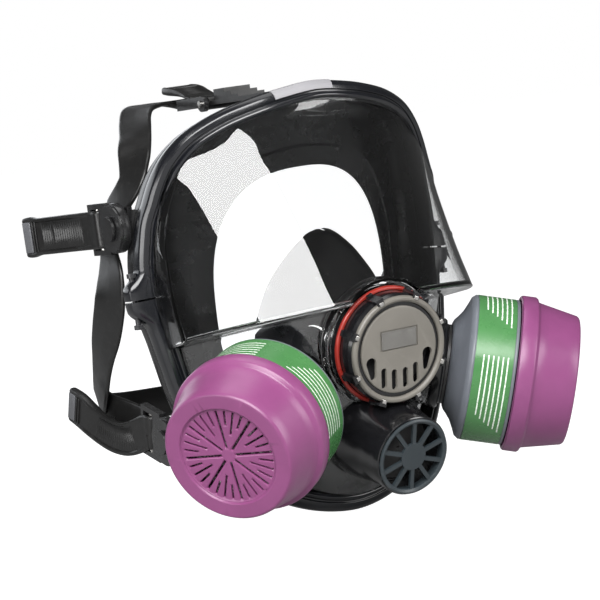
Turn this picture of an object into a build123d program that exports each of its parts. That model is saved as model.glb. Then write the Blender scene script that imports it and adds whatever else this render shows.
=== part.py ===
from build123d import *
import math
import os

# Full-face air-purifying respirator: clear moulded visor clamped in a two-part rim frame, soft face
# skirt with an inner nose cup, front speech diaphragm, exhalation valve under it, two canted inlet
# ports that carry screw-on gas/particulate cartridges, and a five-strap head harness with buckles.
#
# Row frame: +X to the wearer's left, +Y out of the back of the facepiece (towards the head), +Z up.
# Working frame W has its zero at the centre of the speech diaphragm cover; every solid is shifted by
# -ORIGIN when it is written, so the row's zero is the centre of the face-seal plane.

os.makedirs("parts", exist_ok=True)

# ---------------------------------------------------------------- driving dimensions (mm, frame W)
ORIGIN = (0.0, 96.0, 34.0)      # centre of the face seal
RIM_TOP_Y, RIM_LEAN, RIM_WRAP = 57.0, 0.07, 38.0   # rim surface: top depth, lean, wrap round the face
LEDGE_Z, LEDGE_SLOPE, LEDGE_YREF = 21.0, 0.148, 65.0
LENS_T = 2.6                    # visor wall
FRAME_JOINT_Z = 44.0            # where the two rim halves meet

PLATE_PITCH, PLATE_R = 12.0, 29.7
GUARD_C, GUARD_PITCH, GUARD_R = (0.0, 1.6, -58.6), 19.2, 21.7

SEAT = (54.7, 37.8, -18.2)      # cartridge seat centre on the wearer's left
CART_YAW, CART_DROP = 58.3, 15.9
CART_LEN, CAN_R, SKIRT_R, FACE_R, GRILLE_R = 70.0, 41.0, 44.0, 35.7, 27.0
THREAD_TRAVEL = 9.0

STRAP_W, STRAP_T = 22.0, 2.4

OUT = [(0, 150), (22, 147.8), (39, 144.5), (54, 140.3), (67, 134.3), (76, 127.8), (84, 118.5),
       (89.5, 108), (93.5, 97), (97, 87), (99, 76), (100.5, 63), (100.5, 48), (99, 33), (96, 18),
       (93.5, 4), (91, -9), (87, -24), (81, -39), (73, -53), (62, -66), (48, -77), (33, -85),
       (17, -90), (0, -92)]
# face opening of the skirt, matched station by station to OUT
HOLE_C, HOLE_W, HOLE_UP, HOLE_DN, HOLE_P = 32.0, 56.0, 71.0, 70.0, 2.6


def yb(x, z):
    return RIM_TOP_Y + (150.0 - z) * RIM_LEAN + RIM_WRAP * (x / 100.0) ** 2


def lerp(a, b, t):
    return a + (b - a) * t


def catmull(pts, t):
    """Point at share t of a smooth curve through pts; the ends are mirrored in x, so it is square there."""
    n = len(pts) - 1
    f = min(max(t, 0.0), 1.0) * n
    i = min(int(f), n - 1)
    u = f - i
    ext = [(-pts[1][0], pts[1][1])] + list(pts) + [(-pts[-2][0], pts[-2][1])]
    p0, p1, p2, p3 = ext[i:i + 4]
    return tuple(
        0.5 * (2 * b + (c - a) * u + (2 * a - 5 * b + 4 * c - d) * u * u + (3 * b - a - 3 * c + d) * u ** 3)
        for a, b, c, d in zip(p0, p1, p2, p3))


def rim(s):
    """Outline point and outward normal at signed share s: 0 at the forehead, +-1 at the chin."""
    t, sg = abs(s), (1 if s >= 0 else -1)
    x, z = catmull(OUT, t)
    a, b = catmull(OUT, max(t - 0.004, 0)), catmull(OUT, min(t + 0.004, 1))
    dx, dz = b[0] - a[0], b[1] - a[1]
    if t < 0.004 or t > 0.996:
        dx, dz = (1, 0) if t < 0.5 else (-1, 0)
    ln = math.hypot(dx, dz)
    return sg * x, z, sg * (-dz / ln), dx / ln


def share_at(z):
    lo, hi = 0.2, 0.95
    for _ in range(50):
        mid = (lo + hi) / 2
        if catmull(OUT, mid)[1] > z:
            lo = mid
        else:
            hi = mid
    return (lo + hi) / 2


SJ = share_at(FRAME_JOINT_Z)


def band_ring(s, poly):
    x, z, nx, nz = rim(s)
    return [(x + n * nx, yb(x, z) + dy, z + n * nz) for n, dy in poly]


def stations(a, b, n):
    return [lerp(a, b, i / (n - 1)) for i in range(n)]


def face_wire(pts):
    return Wire.make_polygon([Vector(*p) for p in pts], close=True)


def fuse(a, *rest):
    for b in rest:
        a = a + b
    return a


def skin(rings, closed=False):
    """Solid whose faces are flat triangles between equal-count closed rings; the end rings are flat caps."""
    faces = []
    n = len(rings[0])
    pairs = list(zip(rings, rings[1:])) + ([(rings[-1], rings[0])] if closed else [])
    for a, b in pairs:
        for i in range(n):
            j = (i + 1) % n
            faces.append(face_of([a[i], a[j], b[j]]))
            faces.append(face_of([a[i], b[j], b[i]]))
    if not closed:
        faces.append(face_of(rings[0]))
        faces.append(face_of(rings[-1]))
    return Solid(Shell(faces))


def face_of(pts):
    return Face(Wire.make_polygon([Vector(*q) for q in pts], close=True))


def ribbon(pts, widths, thick, wide):
    """Flat strap along pts; wide gives the width direction at each point."""
    rings = []
    if not isinstance(thick, (list, tuple)):
        thick = [thick] * len(pts)
    for i, q in enumerate(pts):
        a, b = Vector(*pts[max(i - 1, 0)]), Vector(*pts[min(i + 1, len(pts) - 1)])
        t = (b - a).normalized()
        w = Vector(*(wide[i] if isinstance(wide, list) else wide))
        w = (w - t * w.dot(t)).normalized()
        n = t.cross(w)
        c, hw, ht = Vector(*q), widths[i] / 2, thick[i] / 2
        ring = [c + w * hw + n * ht, c - w * hw + n * ht, c - w * hw - n * ht, c + w * hw - n * ht]
        rings.append([(v.X, v.Y, v.Z) for v in ring])
    return skin(rings)


nodes = {}


def keep(name, shape):
    nodes[name] = shape


def mirror_x(shape):
    return mirror(shape, about=Plane.YZ)


def both(stem, shape):
    """The wearer's left is +X."""
    keep("left_" + stem, shape)
    keep("right_" + stem, mirror_x(shape))


# ---------------------------------------------------------------- rim frame, two halves
FRAME_POLY = [(0, -0.5), (0, -8.5), (-2.5, -11), (-5.0, -11.4), (-5.6, -13.4), (-8.6, -14.2), (-10.6, -12.6), (-10.6, -0.5)]
upper = skin([band_ring(s, FRAME_POLY) for s in stations(-SJ + 0.0015, SJ - 0.0015, 29)])
lower = skin([band_ring(s, FRAME_POLY) for s in stations(SJ + 0.0015, 1.0, 14)]
             + [band_ring(-s, FRAME_POLY) for s in stations(1.0, SJ + 0.0015, 14)[1:]])
EAR_Y = yb(100.5, FRAME_JOINT_Z) - 5.5
for sg in (1, -1):
    up_ear = Pos(sg * 102.6, EAR_Y, 48.6) * Box(7.4, 10, 8.4)
    dn_ear = Pos(sg * 102.6, EAR_Y, 39.4) * Box(7.4, 10, 8.4)
    bump = Pos(sg * 102.4, EAR_Y, 44) * Cylinder(7.0, 26, rotation=(0, 0, 0))
    # rounded shoulders run the ears out into the rim
    upper = upper + up_ear + (bump & Pos(sg * 102.6, EAR_Y, 52.4) * Box(8.4, 12, 16))
    lower = lower + dn_ear + (bump & Pos(sg * 102.6, EAR_Y, 34.6) * Box(8.4, 12, 18))
    hole = Pos(sg * 104.0, EAR_Y, 44) * Cylinder(1.6, 40)
    upper = upper - hole
    lower = lower - hole

screws = None
for sg in (1, -1):
    sh = Pos(sg * 104.0, EAR_Y, 42.9) * Cylinder(1.5, 29.4)
    hd = Pos(sg * 104.0, EAR_Y, 58.3) * Cylinder(2.6, 2.4) - Pos(sg * 104.0, EAR_Y, 59.2) * Box(4.0, 0.8, 1.0)
    scr = sh + hd
    screws = scr if screws is None else Compound([screws, scr])
nuts = [Pos(sg * 104.0, EAR_Y, 28.4) * (extrude(RegularPolygon(2.9, 6), 2.4) - Pos(0, 0, 1) * Cylinder(1.55, 6))
        for sg in (1, -1)]


# ---------------------------------------------------------------- visor (one moulding: upper window, ledge, lower shell)
def tz(h, y):
    """Height of a tilted section plane: h where y is LEDGE_YREF, rising towards the front."""
    return h + LEDGE_SLOPE * (LEDGE_YREF - y)


def inner_x(z):
    """Half width of the rim at height z, less the clamp depth."""
    if z >= 149.9 or z <= -91.9:
        return 0.0
    lo, hi = 0.0, 1.0
    for _ in range(50):
        mid = (lo + hi) / 2
        if catmull(OUT, mid)[1] > z:
            lo = mid
        else:
            hi = mid
    return catmull(OUT, (lo + hi) / 2)[0]


def arc_half(h, front, r, xa, end, n=9):
    """Front curve of a window section: an arc run out to xa and on to the clamped edge."""
    res = []
    full = r - math.sqrt(r * r - xa * xa)
    k = min(1.0, (end[1] - 1.0 - front) / full)
    for i in range(n):
        x = xa * math.sin(math.radians(90) * i / (n - 1)) ** 0.92 if i else 0.0
        res.append((x, front + k * (r - math.sqrt(max(r * r - x * x, 0.0)))))
    return res + [end]


def offset_in(pts, t):
    """Move each point of a half curve by t towards the face, along its own normal."""
    res = []
    for i, (x, y) in enumerate(pts):
        a = pts[max(i - 1, 0)]
        b = pts[min(i + 1, len(pts) - 1)]
        if i == 0:
            res.append((0.0, y + t))
            continue
        dx, dy = b[0] - a[0], b[1] - a[1]
        ln = math.hypot(dx, dy)
        res.append((x - t * dy / ln, y + t * dx / ln))
    return res


def section(outer, h_out, h_in, t=LENS_T):
    """Ring of one station: outer curve at h_out, inner curve at h_in."""
    inn = offset_in(outer, t)
    o = [(-x, y, tz(h_out, y)) for x, y in reversed(outer[1:])] + [(x, y, tz(h_out, y)) for x, y in outer]
    i_ = [(-x, y, tz(h_in, y)) for x, y in reversed(inn[1:])] + [(x, y, tz(h_in, y)) for x, y in inn]
    return o + list(reversed(i_))


def fixed(pts, n=10):
    """Resample a half curve to n points so that every section has the same count."""
    d = [0.0]
    for a, b in zip(pts, pts[1:]):
        d.append(d[-1] + math.hypot(b[0] - a[0], b[1] - a[1]))
    out = []
    for i in range(n):
        g = d[-1] * i / (n - 1)
        k = max(j for j in range(len(d)) if d[j] <= g + 1e-9)
        k = min(k, len(pts) - 2)
        u = (g - d[k]) / (d[k + 1] - d[k])
        out.append((lerp(pts[k][0], pts[k + 1][0], u), lerp(pts[k][1], pts[k + 1][1], u)))
    return out


# window: section height, front y, arc radius, half width of the arc, clamped edge
WIN = [(142.0, 53.6, 260.0, 34.0, (37.0, 56.5)), (134.0, 54.0, 190.0, 54.0, (60.5, 64.0)), (120.0, 48.6, 130.0, 72.0, (77.0, 74.5)),
       (104.0, 40.8, 118.0, 82.0, (85.5, 81.0)), (84.0, 31.2, 110.0, 89.5, (91.5, 86.0)), (62.0, 20.4, 105.0, 92.5, (94.0, 91.0)),
       (40.0, 9.8, 102.0, 93.8, (93.5, 91.5)), (24.0, 2.0, 101.2, 94.2, (92.0, 91.5))]
FOOT = [(x, y) for x, y in arc_half(18.5, -0.5, 101.0, 94.4, (91.0, 92.0))]
FOOT = FOOT[:-1] + [(91.0, 92.0)]
LOW = [
    (18.5, [(0, 16), (15, 18), (30, 23), (45, 31), (60, 45), (70, 60), (79, 76), (88, 91)]),
    (0.0, [(0, 17), (14, 19), (30, 25), (46, 34), (57, 49), (65, 62), (75, 77), (86.5, 91.5)]),
    (-18.0, [(0, 19), (14, 21), (29, 28), (43, 37), (52, 50.5), (60, 64), (70, 79), (82, 91)]),
    (-38.0, [(0, 25), (13, 27), (26, 34), (38, 42.5), (46, 54), (54, 66), (63, 78), (74, 88)]),
    (-56.0, [(0, 34), (10, 35.5), (21, 41), (31, 48.5), (39, 57), (47, 66.5), (55, 75), (62.5, 82)]),
    (-70.0, [(0, 45), (8, 46), (16, 49.5), (24, 55), (31, 61), (38, 67.5), (43.5, 73), (47, 78)]),
    (-79.0, [(0, 54), (5, 54.5), (11, 56.5), (17, 59.5), (22, 63), (26, 67), (28.5, 71), (29.5, 75)]),
    (-85.0, [(0, 61.5), (3, 61.7), (6, 62.4), (9, 63.6), (11.5, 65.3), (13.5, 67.6), (14.5, 70), (15, 72.5)]),
]
rings = [section(fixed(arc_half(h, fr, r, xa, e), 10), h, h) for h, fr, r, xa, e in WIN]
rings.append(section(FOOT, LEDGE_Z - 2.5, LEDGE_Z + 0.1))
rings.append(section(fixed(LOW[0][1]), LEDGE_Z - 2.5, LEDGE_Z + 0.1))
rings += [section(fixed(pts), h, h) for h, pts in LOW[1:]]
visor = skin(rings)


# ---------------------------------------------------------------- local frames
def down_axis(pitch):
    a = math.radians(pitch)
    return Vector(0, -math.cos(a), -math.sin(a))


plate_pl = Plane(origin=(0, 0, 0), x_dir=(1, 0, 0), z_dir=down_axis(PLATE_PITCH))
guard_pl = Plane(origin=GUARD_C, x_dir=(1, 0, 0), z_dir=down_axis(GUARD_PITCH))
cy, cd = math.radians(CART_YAW), math.radians(CART_DROP)
AX = Vector(math.sin(cy) * math.cos(cd), -math.cos(cy) * math.cos(cd), -math.sin(cd))
seat_pl = Plane(origin=SEAT, x_dir=Vector(math.cos(cy), math.sin(cy), 0), z_dir=AX)


def rev(pts, pl):
    """Solid of revolution from (radius, height) points about the plane's z axis."""
    w = Wire.make_polygon([Vector(r, 0, h) for r, h in pts], close=True)
    return pl.location * Solid.revolve(Face(w), 360, Axis.Z)


def cyl(pl, r, h0_, h1, cx=0.0, cyy=0.0):
    return pl.location * (Pos(cx, cyy, (h0_ + h1) / 2) * Cylinder(r, h1 - h0_))


# openings in the visor for the speech unit, exhalation housing and inlet ports, each with a raised collar
speech_collar = rev([(31.9, -24), (35.2, -24), (35.2, -17.4), (31.9, -17.4)], plate_pl)
port_collar = rev([(21.4, -14.5), (24.4, -14.5), (24.4, -9.2), (21.4, -9.2)], seat_pl)
visor = visor + speech_collar + port_collar + mirror_x(port_collar)
visor = visor - cyl(plate_pl, 31.9, -60, 10) - cyl(plate_pl, 35.6, -17.4, 30)
EXH_BACK = 36.0
visor = visor - cyl(guard_pl, 27.9, -60, 3)
for sh in (cyl(seat_pl, 21.4, -60, 10), cyl(seat_pl, 26.0, -9.2, 20)):
    visor = visor - sh - mirror_x(sh)
# clear everything behind and inside the rim clamp, so that only the clamped edge remains in the frame groove
solids_v = sorted(visor.solids(), key=lambda q: -q.volume)
visor = solids_v[0]
print("visor pieces", len(solids_v), [round(q.volume) for q in solids_v[:4]])

# ---------------------------------------------------------------- speech unit
body = rev([(27.0, -15.0), (30.6, -15.0), (30.6, -3.2), (29.6, -1.2), (27.0, -1.2)], plate_pl)
body = body + rev([(24.0, -22.0), (31.4, -22.0), (31.4, -17.2), (30.6, -17.2), (30.6, -15.0), (24.0, -15.0)], plate_pl)
keep("speech_housing", body)
keep("speech_gasket", rev([(30.9, -16.9), (32.6, -16.9), (33.3, -14.6), (32.6, -12.3), (30.9, -12.3)], plate_pl))
ring = rev([(26.4, -1.0), (29.7, -1.0), (29.7, 0.6), (28.9, 1.6), (27.6, 1.6), (26.4, 0.8)], plate_pl)
clips = []
for k in range(8):
    a = 22.5 + 45 * k
    clip = Rot(0, 0, a) * (Pos(31.4, 0, -3.6) * Box(1.5, 5.0, 10.0) + Pos(29.9, 0, 1.15) * Box(3.6, 4.2, 0.9)
                           + Pos(32.2, 0, -8.0) * Box(2.4, 3.4, 2.0))
    clips.append(plate_pl.location * clip)
clips = [c - cyl(plate_pl, 30.7, -12, 0.65) - rev([(27.0, 0.4), (29.75, 0.4), (29.75, 0.65), (28.95, 1.65), (27.0, 1.65)], plate_pl) for c in clips]
keep("speech_clips", Compound([s for c in clips for s in c.solids()]))
keep("speech_retainer", ring)
cover = cyl(plate_pl, 26.0, -1.0, 0.9)
groove = rev([(24.3, -0.5), (25.5, -0.5), (25.5, 1.2), (24.3, 1.2)], plate_pl)
cover = cover - groove


def slot(cx, c_y, w, ln, rot=0):
    s = extrude(Rot(0, 0, rot) * SlotOverall(ln, w, rotation=90), 8)
    return plate_pl.location * (Pos(cx, c_y, -4) * s)


# plate_pl's y axis points down the cover when its z axis points out of the face
probe = plate_pl.location * Pos(0, 1, 0) * Vertex(0, 0, 0)
UPY = 1.0 if probe.center().Z > 0 else -1.0
for cx, c_y, w, ln in ((-3.6, -16.3, 3.3, 11.5), (3.6, -16.3, 3.3, 11.5), (-10.3, -14.6, 3.3, 11.0), (10.3, -14.6, 3.3, 11.0)):
    cover = cover - slot(cx, UPY * c_y, w, ln)
for sg in (1, -1):
    # teardrop openings, wide end up
    drop = Pos(0, UPY * 3.4) * Circle(2.9) + Pos(0, -UPY * 4.6) * Circle(1.7)
    drop = drop + Polygon((-2.9, UPY * 3.4), (2.9, UPY * 3.4), (1.7, -UPY * 4.6), (-1.7, -UPY * 4.6), align=None)
    cover = cover - plate_pl.location * (Pos(sg * 17.2, UPY * -8.0, -4) * extrude(Rot(0, 0, -UPY * sg * 8) * drop, 8))
badge = plate_pl.location * (Pos(0, UPY * 6.2, 0.9) * Box(22.9, 10.4, 1.2))
badge_in = plate_pl.location * (Pos(0, UPY * 6.2, 1.6) * Box(20.8, 8.4, 1.0))
cover = cover - badge
keep("speech_cover", cover)
keep("speech_badge", plate_pl.location * (Pos(0, UPY * 6.2, 0.75) * Box(22.1, 9.6, 0.8)) - badge_in)
keep("speech_membrane", cyl(plate_pl, 23.0, -6.4, -6.0))
keep("speech_seat_ring", rev([(23.0, -9.0), (26.8, -9.0), (26.8, -1.6), (25.4, -1.6), (25.4, -5.9), (23.0, -5.9)], plate_pl)
     - cyl(plate_pl, 23.05, -6.6, -5.8))

# ---------------------------------------------------------------- exhalation unit
exh = rev([(20.6, 0.4), (22.0, 0.4), (22.6, 0.0), (22.6, -6.0), (23.6, -18.0), (27.7, -38.0), (24.6, -38.0), (20.6, -18.0), (20.6, -17.0),
           (16.4, -17.0), (16.4, -15.0), (19.8, -15.0), (19.8, -4.2), (20.6, -4.2)], guard_pl)
for k in range(3):
    exh = exh + guard_pl.location * (Rot(0, 0, 60 * k) * Pos(0, 0, -16.0) * Box(33.6, 1.4, 2.0))
exh = exh + cyl(guard_pl, 3.4, -17.0, -15.0)
exh = exh - body - nodes["speech_gasket"] - visor
exh = exh - cyl(plate_pl, 31.9, -21.9, 5)
exh = max(exh.solids(), key=lambda q: q.volume)
keep("exhalation_housing", exh)
keep("exhalation_valve", rev([(0.6, -14.6), (18.4, -14.6), (18.4, -14.1), (4.0, -13.6), (0.6, -13.6)], guard_pl))
g = rev([(19.2, -3.4), (20.2, -3.4), (20.2, 0.8), (21.7, 0.8), (21.7, 1.8), (20.6, 2.3), (19.2, 1.4)], guard_pl)
g = g + cyl(guard_pl, 7.8, -0.2, 1.6)
for k in range(10):
    g = g + guard_pl.location * (Rot(0, 0, 18 + 36 * k) * Pos(13.6, 0, 0.5) * Box(13.4, 2.3, 1.8))
keep("exhalation_guard", g)

# ---------------------------------------------------------------- inlet ports and cartridges (+X side, mirrored)
port = rev([(13.0, -16.0), (20.9, -16.0), (20.9, -9.0), (24.9, -9.0), (25.4, -7.6), (25.4, -4.2), (24.6, -3.2), (22.6, -3.2),
            (22.6, -2.2), (16.5, -2.2), (16.5, -0.4), (16.2, 0.6), (16.2, 7.4), (15.4, 8.2), (13.0, 8.2)], seat_pl)
port = port + rev([(11.0, -14.4), (13.2, -14.4), (13.2, -12.8), (11.0, -12.8)], seat_pl)
for k in range(2):
    port = port + seat_pl.location * (Rot(0, 0, 90 * k) * Pos(0, 0, -13.6) * Box(22.8, 1.6, 1.4))
port = port + cyl(seat_pl, 2.2, -14.4, -12.8)
both("inlet_port", port)
both("inhalation_valve", rev([(0.4, -15.9), (12.4, -15.9), (12.4, -15.2), (0.4, -14.8)], seat_pl))
both("port_gasket", rev([(17.4, -1.85), (22.4, -1.85), (22.4, -0.35), (17.4, -0.35)], seat_pl))
can = rev([(16.9, 0.0), (23.8, 0.0), (25.6, 0.8), (27.6, 2.6), (31.0, 5.2), (36.0, 7.6), (39.4, 9.0), (41.0, 11.2), (41.0, 12.0),
           (40.65, 12.2), (40.65, 33.8), (41.1, 34.0), (41.1, 35.6), (38.9, 35.6), (38.9, 12.0), (37.2, 10.6), (30.0, 7.9),
           (25.4, 4.6), (22.0, 3.4), (16.9, 3.4)], seat_pl)
both("cartridge_body", can)
both("cartridge_label", rev([(40.75, 12.35), (41.15, 12.35), (41.15, 33.65), (40.75, 33.65)], seat_pl))
both("sorbent_bed", cyl(seat_pl, 38.5, 13.0, 34.0))
both("filter_media", rev([(0.0, 50.0), (34.5, 50.0), (34.5, 62.0), (0.0, 62.0)], seat_pl))
cap = rev([(41.3, 36.0), (43.2, 36.0), (44.0, 37.0), (44.0, 44.6), (43.3, 45.6), (41.9, 46.2), (41.2, 47.0), (36.6, 68.6), (35.7, 70.0),
           (28.0, 70.0), (27.0, 69.4), (27.0, 68.3), (0.0, 68.3), (0.0, 66.5), (34.6, 66.5), (39.2, 47.0), (39.2, 45.4), (41.3, 44.0)], seat_pl)
cuts = []
for k in range(32):
    a = 360.0 * k / 32
    if k % 4 == 0:
        r0, r1 = 4.2, 25.6
    elif k % 4 == 2:
        r0, r1 = 12.5, 25.6
    else:
        r0, r1 = 17.5, 25.6
    cuts.append(seat_pl.location * (Rot(0, 0, a) * Pos((r0 + r1) / 2, 0, 67.5) * Box(r1 - r0, 1.15, 4.0)))
cap = cap - cuts
both("filter_cap", cap)

# ---------------------------------------------------------------- soft skirt
def hole_pt(s):
    """Opening edge matched to rim share s."""
    x, z, _, _ = rim(s)
    dx, dz = x, z - HOLE_C
    a = math.atan2(dz, dx)
    hh = HOLE_UP if dz > 0 else HOLE_DN
    c, q = abs(math.cos(a)), abs(math.sin(a))
    r = ((c / HOLE_W) ** HOLE_P + (q / hh) ** HOLE_P) ** (-1.0 / HOLE_P)
    return r * math.cos(a), HOLE_C + r * math.sin(a)


def skirt_ring(s):
    x, z, nx, nz = rim(s)
    hx, hz = hole_pt(s)
    dx, dz = hx - x, hz - z
    ln = math.hypot(dx, dz)
    ux, uz = dx / ln, dz / ln
    y0 = yb(x, z)
    yh = yb(hx, hz) + 17.0
    out = []
    for n, y in ((1.0, y0 + 0.6), (1.8, y0 + 8.0), (4.5, y0 + 14.5), (10.0, y0 + 17.4), (18.0, y0 + 17.8),
                 (ln, yh), (ln - 0.2, yh - 1.6), (16.5, y0 + 14.4), (9.5, y0 + 12.2), (6.6, y0 + 8.0), (6.6, y0 + 0.6)):
        out.append((x + ux * n, y, z + uz * n))
    return out


SK = 44
skirt = skin([skirt_ring(-1 + 2 * i / SK) for i in range(SK)], closed=True)
skirt = skirt - upper - lower
skirt = max(skirt.solids(), key=lambda q: q.volume)
keep("face_skirt", skirt)


# ---------------------------------------------------------------- nose cup
def cup_ring(h, front, back, w, t):
    pts = []
    for i in range(8):
        a = math.radians(90) * i / 7
        pts.append((w * math.sin(a) ** 0.9 if i else 0.0, front + (back - front) * (1 - math.cos(a) ** 1.1)))
    inn = [(x * (w - t) / w, y + t * (1 - i / 7)) for i, (x, y) in enumerate(pts)]
    fo = [(-x, y) for x, y in reversed(pts[1:])] + pts
    fi = [(-x, y) for x, y in reversed(inn[1:])] + inn
    return [(x, y, h + 0.25 * (y - front)) for x, y in fo] + [(x, y, h + 0.25 * (y - front)) for x, y in reversed(fi)]


CUP = [(58.0, 50.0, 66.0, 9.0), (48.0, 40.0, 70.0, 19.0), (30.0, 31.0, 78.0, 30.0), (8.0, 28.0, 86.0, 36.0),
       (-14.0, 30.0, 89.0, 38.5), (-34.0, 40.0, 88.0, 36.0), (-48.0, 50.0, 86.0, 29.0)]
cup = skin([cup_ring(h, f, b_, w, 2.4) for h, f, b_, w in CUP])

# ---------------------------------------------------------------- harness hardware (local frame: x back along the strap, z outward)
def strap_dir_plane(o, rise):
    a = math.radians(rise)
    return Plane(origin=o, x_dir=(0, math.cos(a), math.sin(a)), z_dir=(1, 0, 0))


def at(pl, u, v, w):
    q = pl.from_local_coords(Vector(u, v, w))
    return (q.X, q.Y, q.Z)


def lcyl(pl, r, w0, w1, u=0.0, v=0.0):
    return pl.location * (Pos(u, v, (w0 + w1) / 2) * Cylinder(r, w1 - w0))


def lbox(pl, u0, u1, v0, v1, w0, w1):
    return pl.location * (Pos((u0 + u1) / 2, (v0 + v1) / 2, (w0 + w1) / 2) * Box(u1 - u0, v1 - v0, w1 - w0))


def buckle_set(stem, pl, tail, live, lw):
    tab = lbox(pl, -12, 3, -11, 11, -3.0, 0) + lcyl(pl, 11.0, -3.0, 0, u=3.0)
    stud = lcyl(pl, 4.0, -3.0, 7.2) + lcyl(pl, 7.0, 6.8, 8.4)
    tab = tab + lbox(pl, -12, -3, -9, 9, -7.0, -3.0) - lcyl(pl, 4.0, -4, 1)
    bk = lcyl(pl, 14.0, 0.4, 6.2) + lbox(pl, 6, 28, -14.6, 14.6, 0.4, 4.9)
    bk = bk - lbox(pl, 14.3, 25.0, -11.6, 11.6, -1, 8) - lbox(pl, 24.9, 29, -11.6, 11.6, -1, 1.5) - lcyl(pl, 4.03, -1, 8)
    bk = bk - lcyl(pl, 14.2, 5.0, 8) + lcyl(pl, 13.0, 4.95, 6.2) - lcyl(pl, 4.03, -1, 8)
    rod = pl.location * (Pos(19.0, 0, 2.7) * Rot(90, 0, 0) * Cylinder(1.6, 27.4))
    bk = bk - rod
    pts = [live[-1]] + list(reversed(live[:-1])) + [(19.0, -0.1), (17.6, 0.3), (16.5, 1.3), (16.2, 2.7), (16.5, 4.1), (17.6, 5.1), (19.0, 5.5)] + tail
    n = len(pts)
    th = [2.2] * n
    th[-1], th[-2] = 4.6, 4.6
    strap = ribbon([at(pl, q[0], q[2] if len(q) > 2 else 0, q[1]) for q in pts], [lw] * (n - 2) + [lw + 1.5] * 2, th, [at(Plane(origin=(0, 0, 0), x_dir=pl.x_dir, z_dir=pl.z_dir), 0, 1, 0)] * n)
    both(stem + "_buckle", bk)
    both(stem + "_roller", rod)
    both(stem + "_strap", strap)
    return tab, stud


temple_pl = strap_dir_plane((98.5, 113.0, 85.0), 0.0)
chin_pl = strap_dir_plane((85.5, 114.0, -38.0), 14.7)
t_tab, t_stud = buckle_set("temple", temple_pl, [(22, 5.9), (28, 7.4), (40, 11.0), (55, 16.0), (70, 20.8), (77, 23.0)],
                           [(22, -0.2), (26, -0.4), (31.0, -0.6)], 21.5)
c_tab, c_stud = buckle_set("chin", chin_pl, [(22, 5.9, -1.0), (30, 7.4, -5.5), (38, 9.4, -8.8), (48, 11.8, -9.6), (58, 14.0, -8.0), (68, 16.0, -4.5), (78, 17.4, -1.5), (89, 18.6, 0.0)],
                           [(22, -0.2), (27, -0.3), (38, 0.0), (50, 1.6), (62.0, 3.8)], 20.0)


def pair(shape):
    return Compound([q for q in (shape.solids() + mirror_x(shape).solids())])


t_tab = t_tab - skirt - upper
c_tab = c_tab + lbox(chin_pl, -13, 0, -9, 9, -9, -3.0)
c_tab = c_tab - skirt - lower
t_tab = max(t_tab.solids(), key=lambda q: q.volume)
c_tab = max(c_tab.solids(), key=lambda q: q.volume)
keep("temple_tabs", pair(t_tab))
keep("chin_tabs", pair(c_tab))
keep("buckle_studs", Compound([q for st in (t_stud, c_stud) for q in (st.solids() + mirror_x(st).solids())]))

# top buckle: link from the skirt's top, cross pin, buckle frame, roller and strap
TPY, TPZ = 154.0, 147.0
link = ribbon([(0, 66, 146.6), (0, 90, 146.8), (0, 120, 147.0), (0, 147, 147.0), (0, 151.2, 147.0)], [20, 20, 20, 20, 20], 2.6, (1, 0, 0))
for i, (ya, yb_, zt) in enumerate(((118, 146, 150.0), (126, 146, 152.0), (134, 146, 154.5))):
    link = link + Pos(0, (ya + yb_) / 2, (147 + zt) / 2) * Box(18, yb_ - ya, zt - 147)
link = link + Pos(0, TPY, TPZ) * (Rot(0, 90, 0) * Cylinder(3.8, 20)) - Pos(0, TPY, TPZ) * (Rot(0, 90, 0) * Cylinder(2.0, 30))
link = link - skirt - upper
link = max(link.solids(), key=lambda q: q.volume)
keep("top_link", link)
keep("top_pin", Pos(0, TPY, TPZ) * (Rot(0, 90, 0) * Cylinder(2.0, 31)))
tb = None
for sg in (1, -1):
    ck = Pos(sg * 12.6, 169.5, 148.2) * Box(3.2, 29, 6.4) + Pos(sg * 12.6, TPY, TPZ) * (Rot(0, 90, 0) * Cylinder(4.6, 3.2))
    tb = ck if tb is None else tb + ck
tb = tb + Pos(0, 162.0, 149.6) * Box(26, 5.0, 3.6) + Pos(0, 182.6, 150.2) * Box(26, 2.8, 2.4)
top_rod = Pos(0, 176.5, 149.0) * (Rot(0, 90, 0) * Cylinder(1.6, 26.6))
tb = tb - Pos(0, TPY, TPZ) * (Rot(0, 90, 0) * Cylinder(2.03, 40)) - top_rod
keep("top_buckle", tb)
keep("top_roller", top_rod)
tpts = [(190.0, 147.0), (184.0, 146.4), (180.0, 146.2), (176.5, 146.2), (175.1, 146.6), (174.0, 147.6), (173.7, 149.0), (174.0, 150.4), (175.1, 151.4),
        (176.5, 151.8), (180.0, 152.6), (186.0, 154.4), (198.0, 157.0), (208.0, 158.6)]
keep("top_strap", ribbon([(0, y, z) for y, z in tpts], [20] * 12 + [21.5] * 2, [2.2] * 12 + [4.4] * 2, (1, 0, 0)))

# head harness: crown piece, side and nape piece
crown = ribbon([(0, 191.6, 147.2), (0, 200, 149.2), (0, 211, 151.2)], [20, 22, 26], 2.4, (1, 0, 0))
A_PTS = [(0, 209, 151.0), (18, 208, 151.0), (32, 199, 149.6), (45, 180, 144.0), (58, 157, 136.0), (69, 139, 128.0), (76, 128, 119.5), (81, 124, 111.0), (85.5, 127, 103.0), (90, 134.5, 95.0), (93.2, 140, 88.0)]
A_W = [20, 20, 20, 20, 20, 20, 20, 20, 18, 17, 17]
A_D = [(0, 1, 0), (0, 1, 0.05), (0.5, 0.8, 0.1), (0.7, 0.6, -0.1), (0.75, 0.5, -0.2), (0.5, 0.8, 0.1), (0.3, 0.95, 0.2), (0.2, 1, 0.3), (0.2, 1, 0.3), (0.1, 1, 0.2), (0, 1, 0)]
arm = ribbon(A_PTS, A_W, 2.4, [Vector(*d) for d in A_D])
crown = crown + arm + mirror_x(arm)
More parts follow.
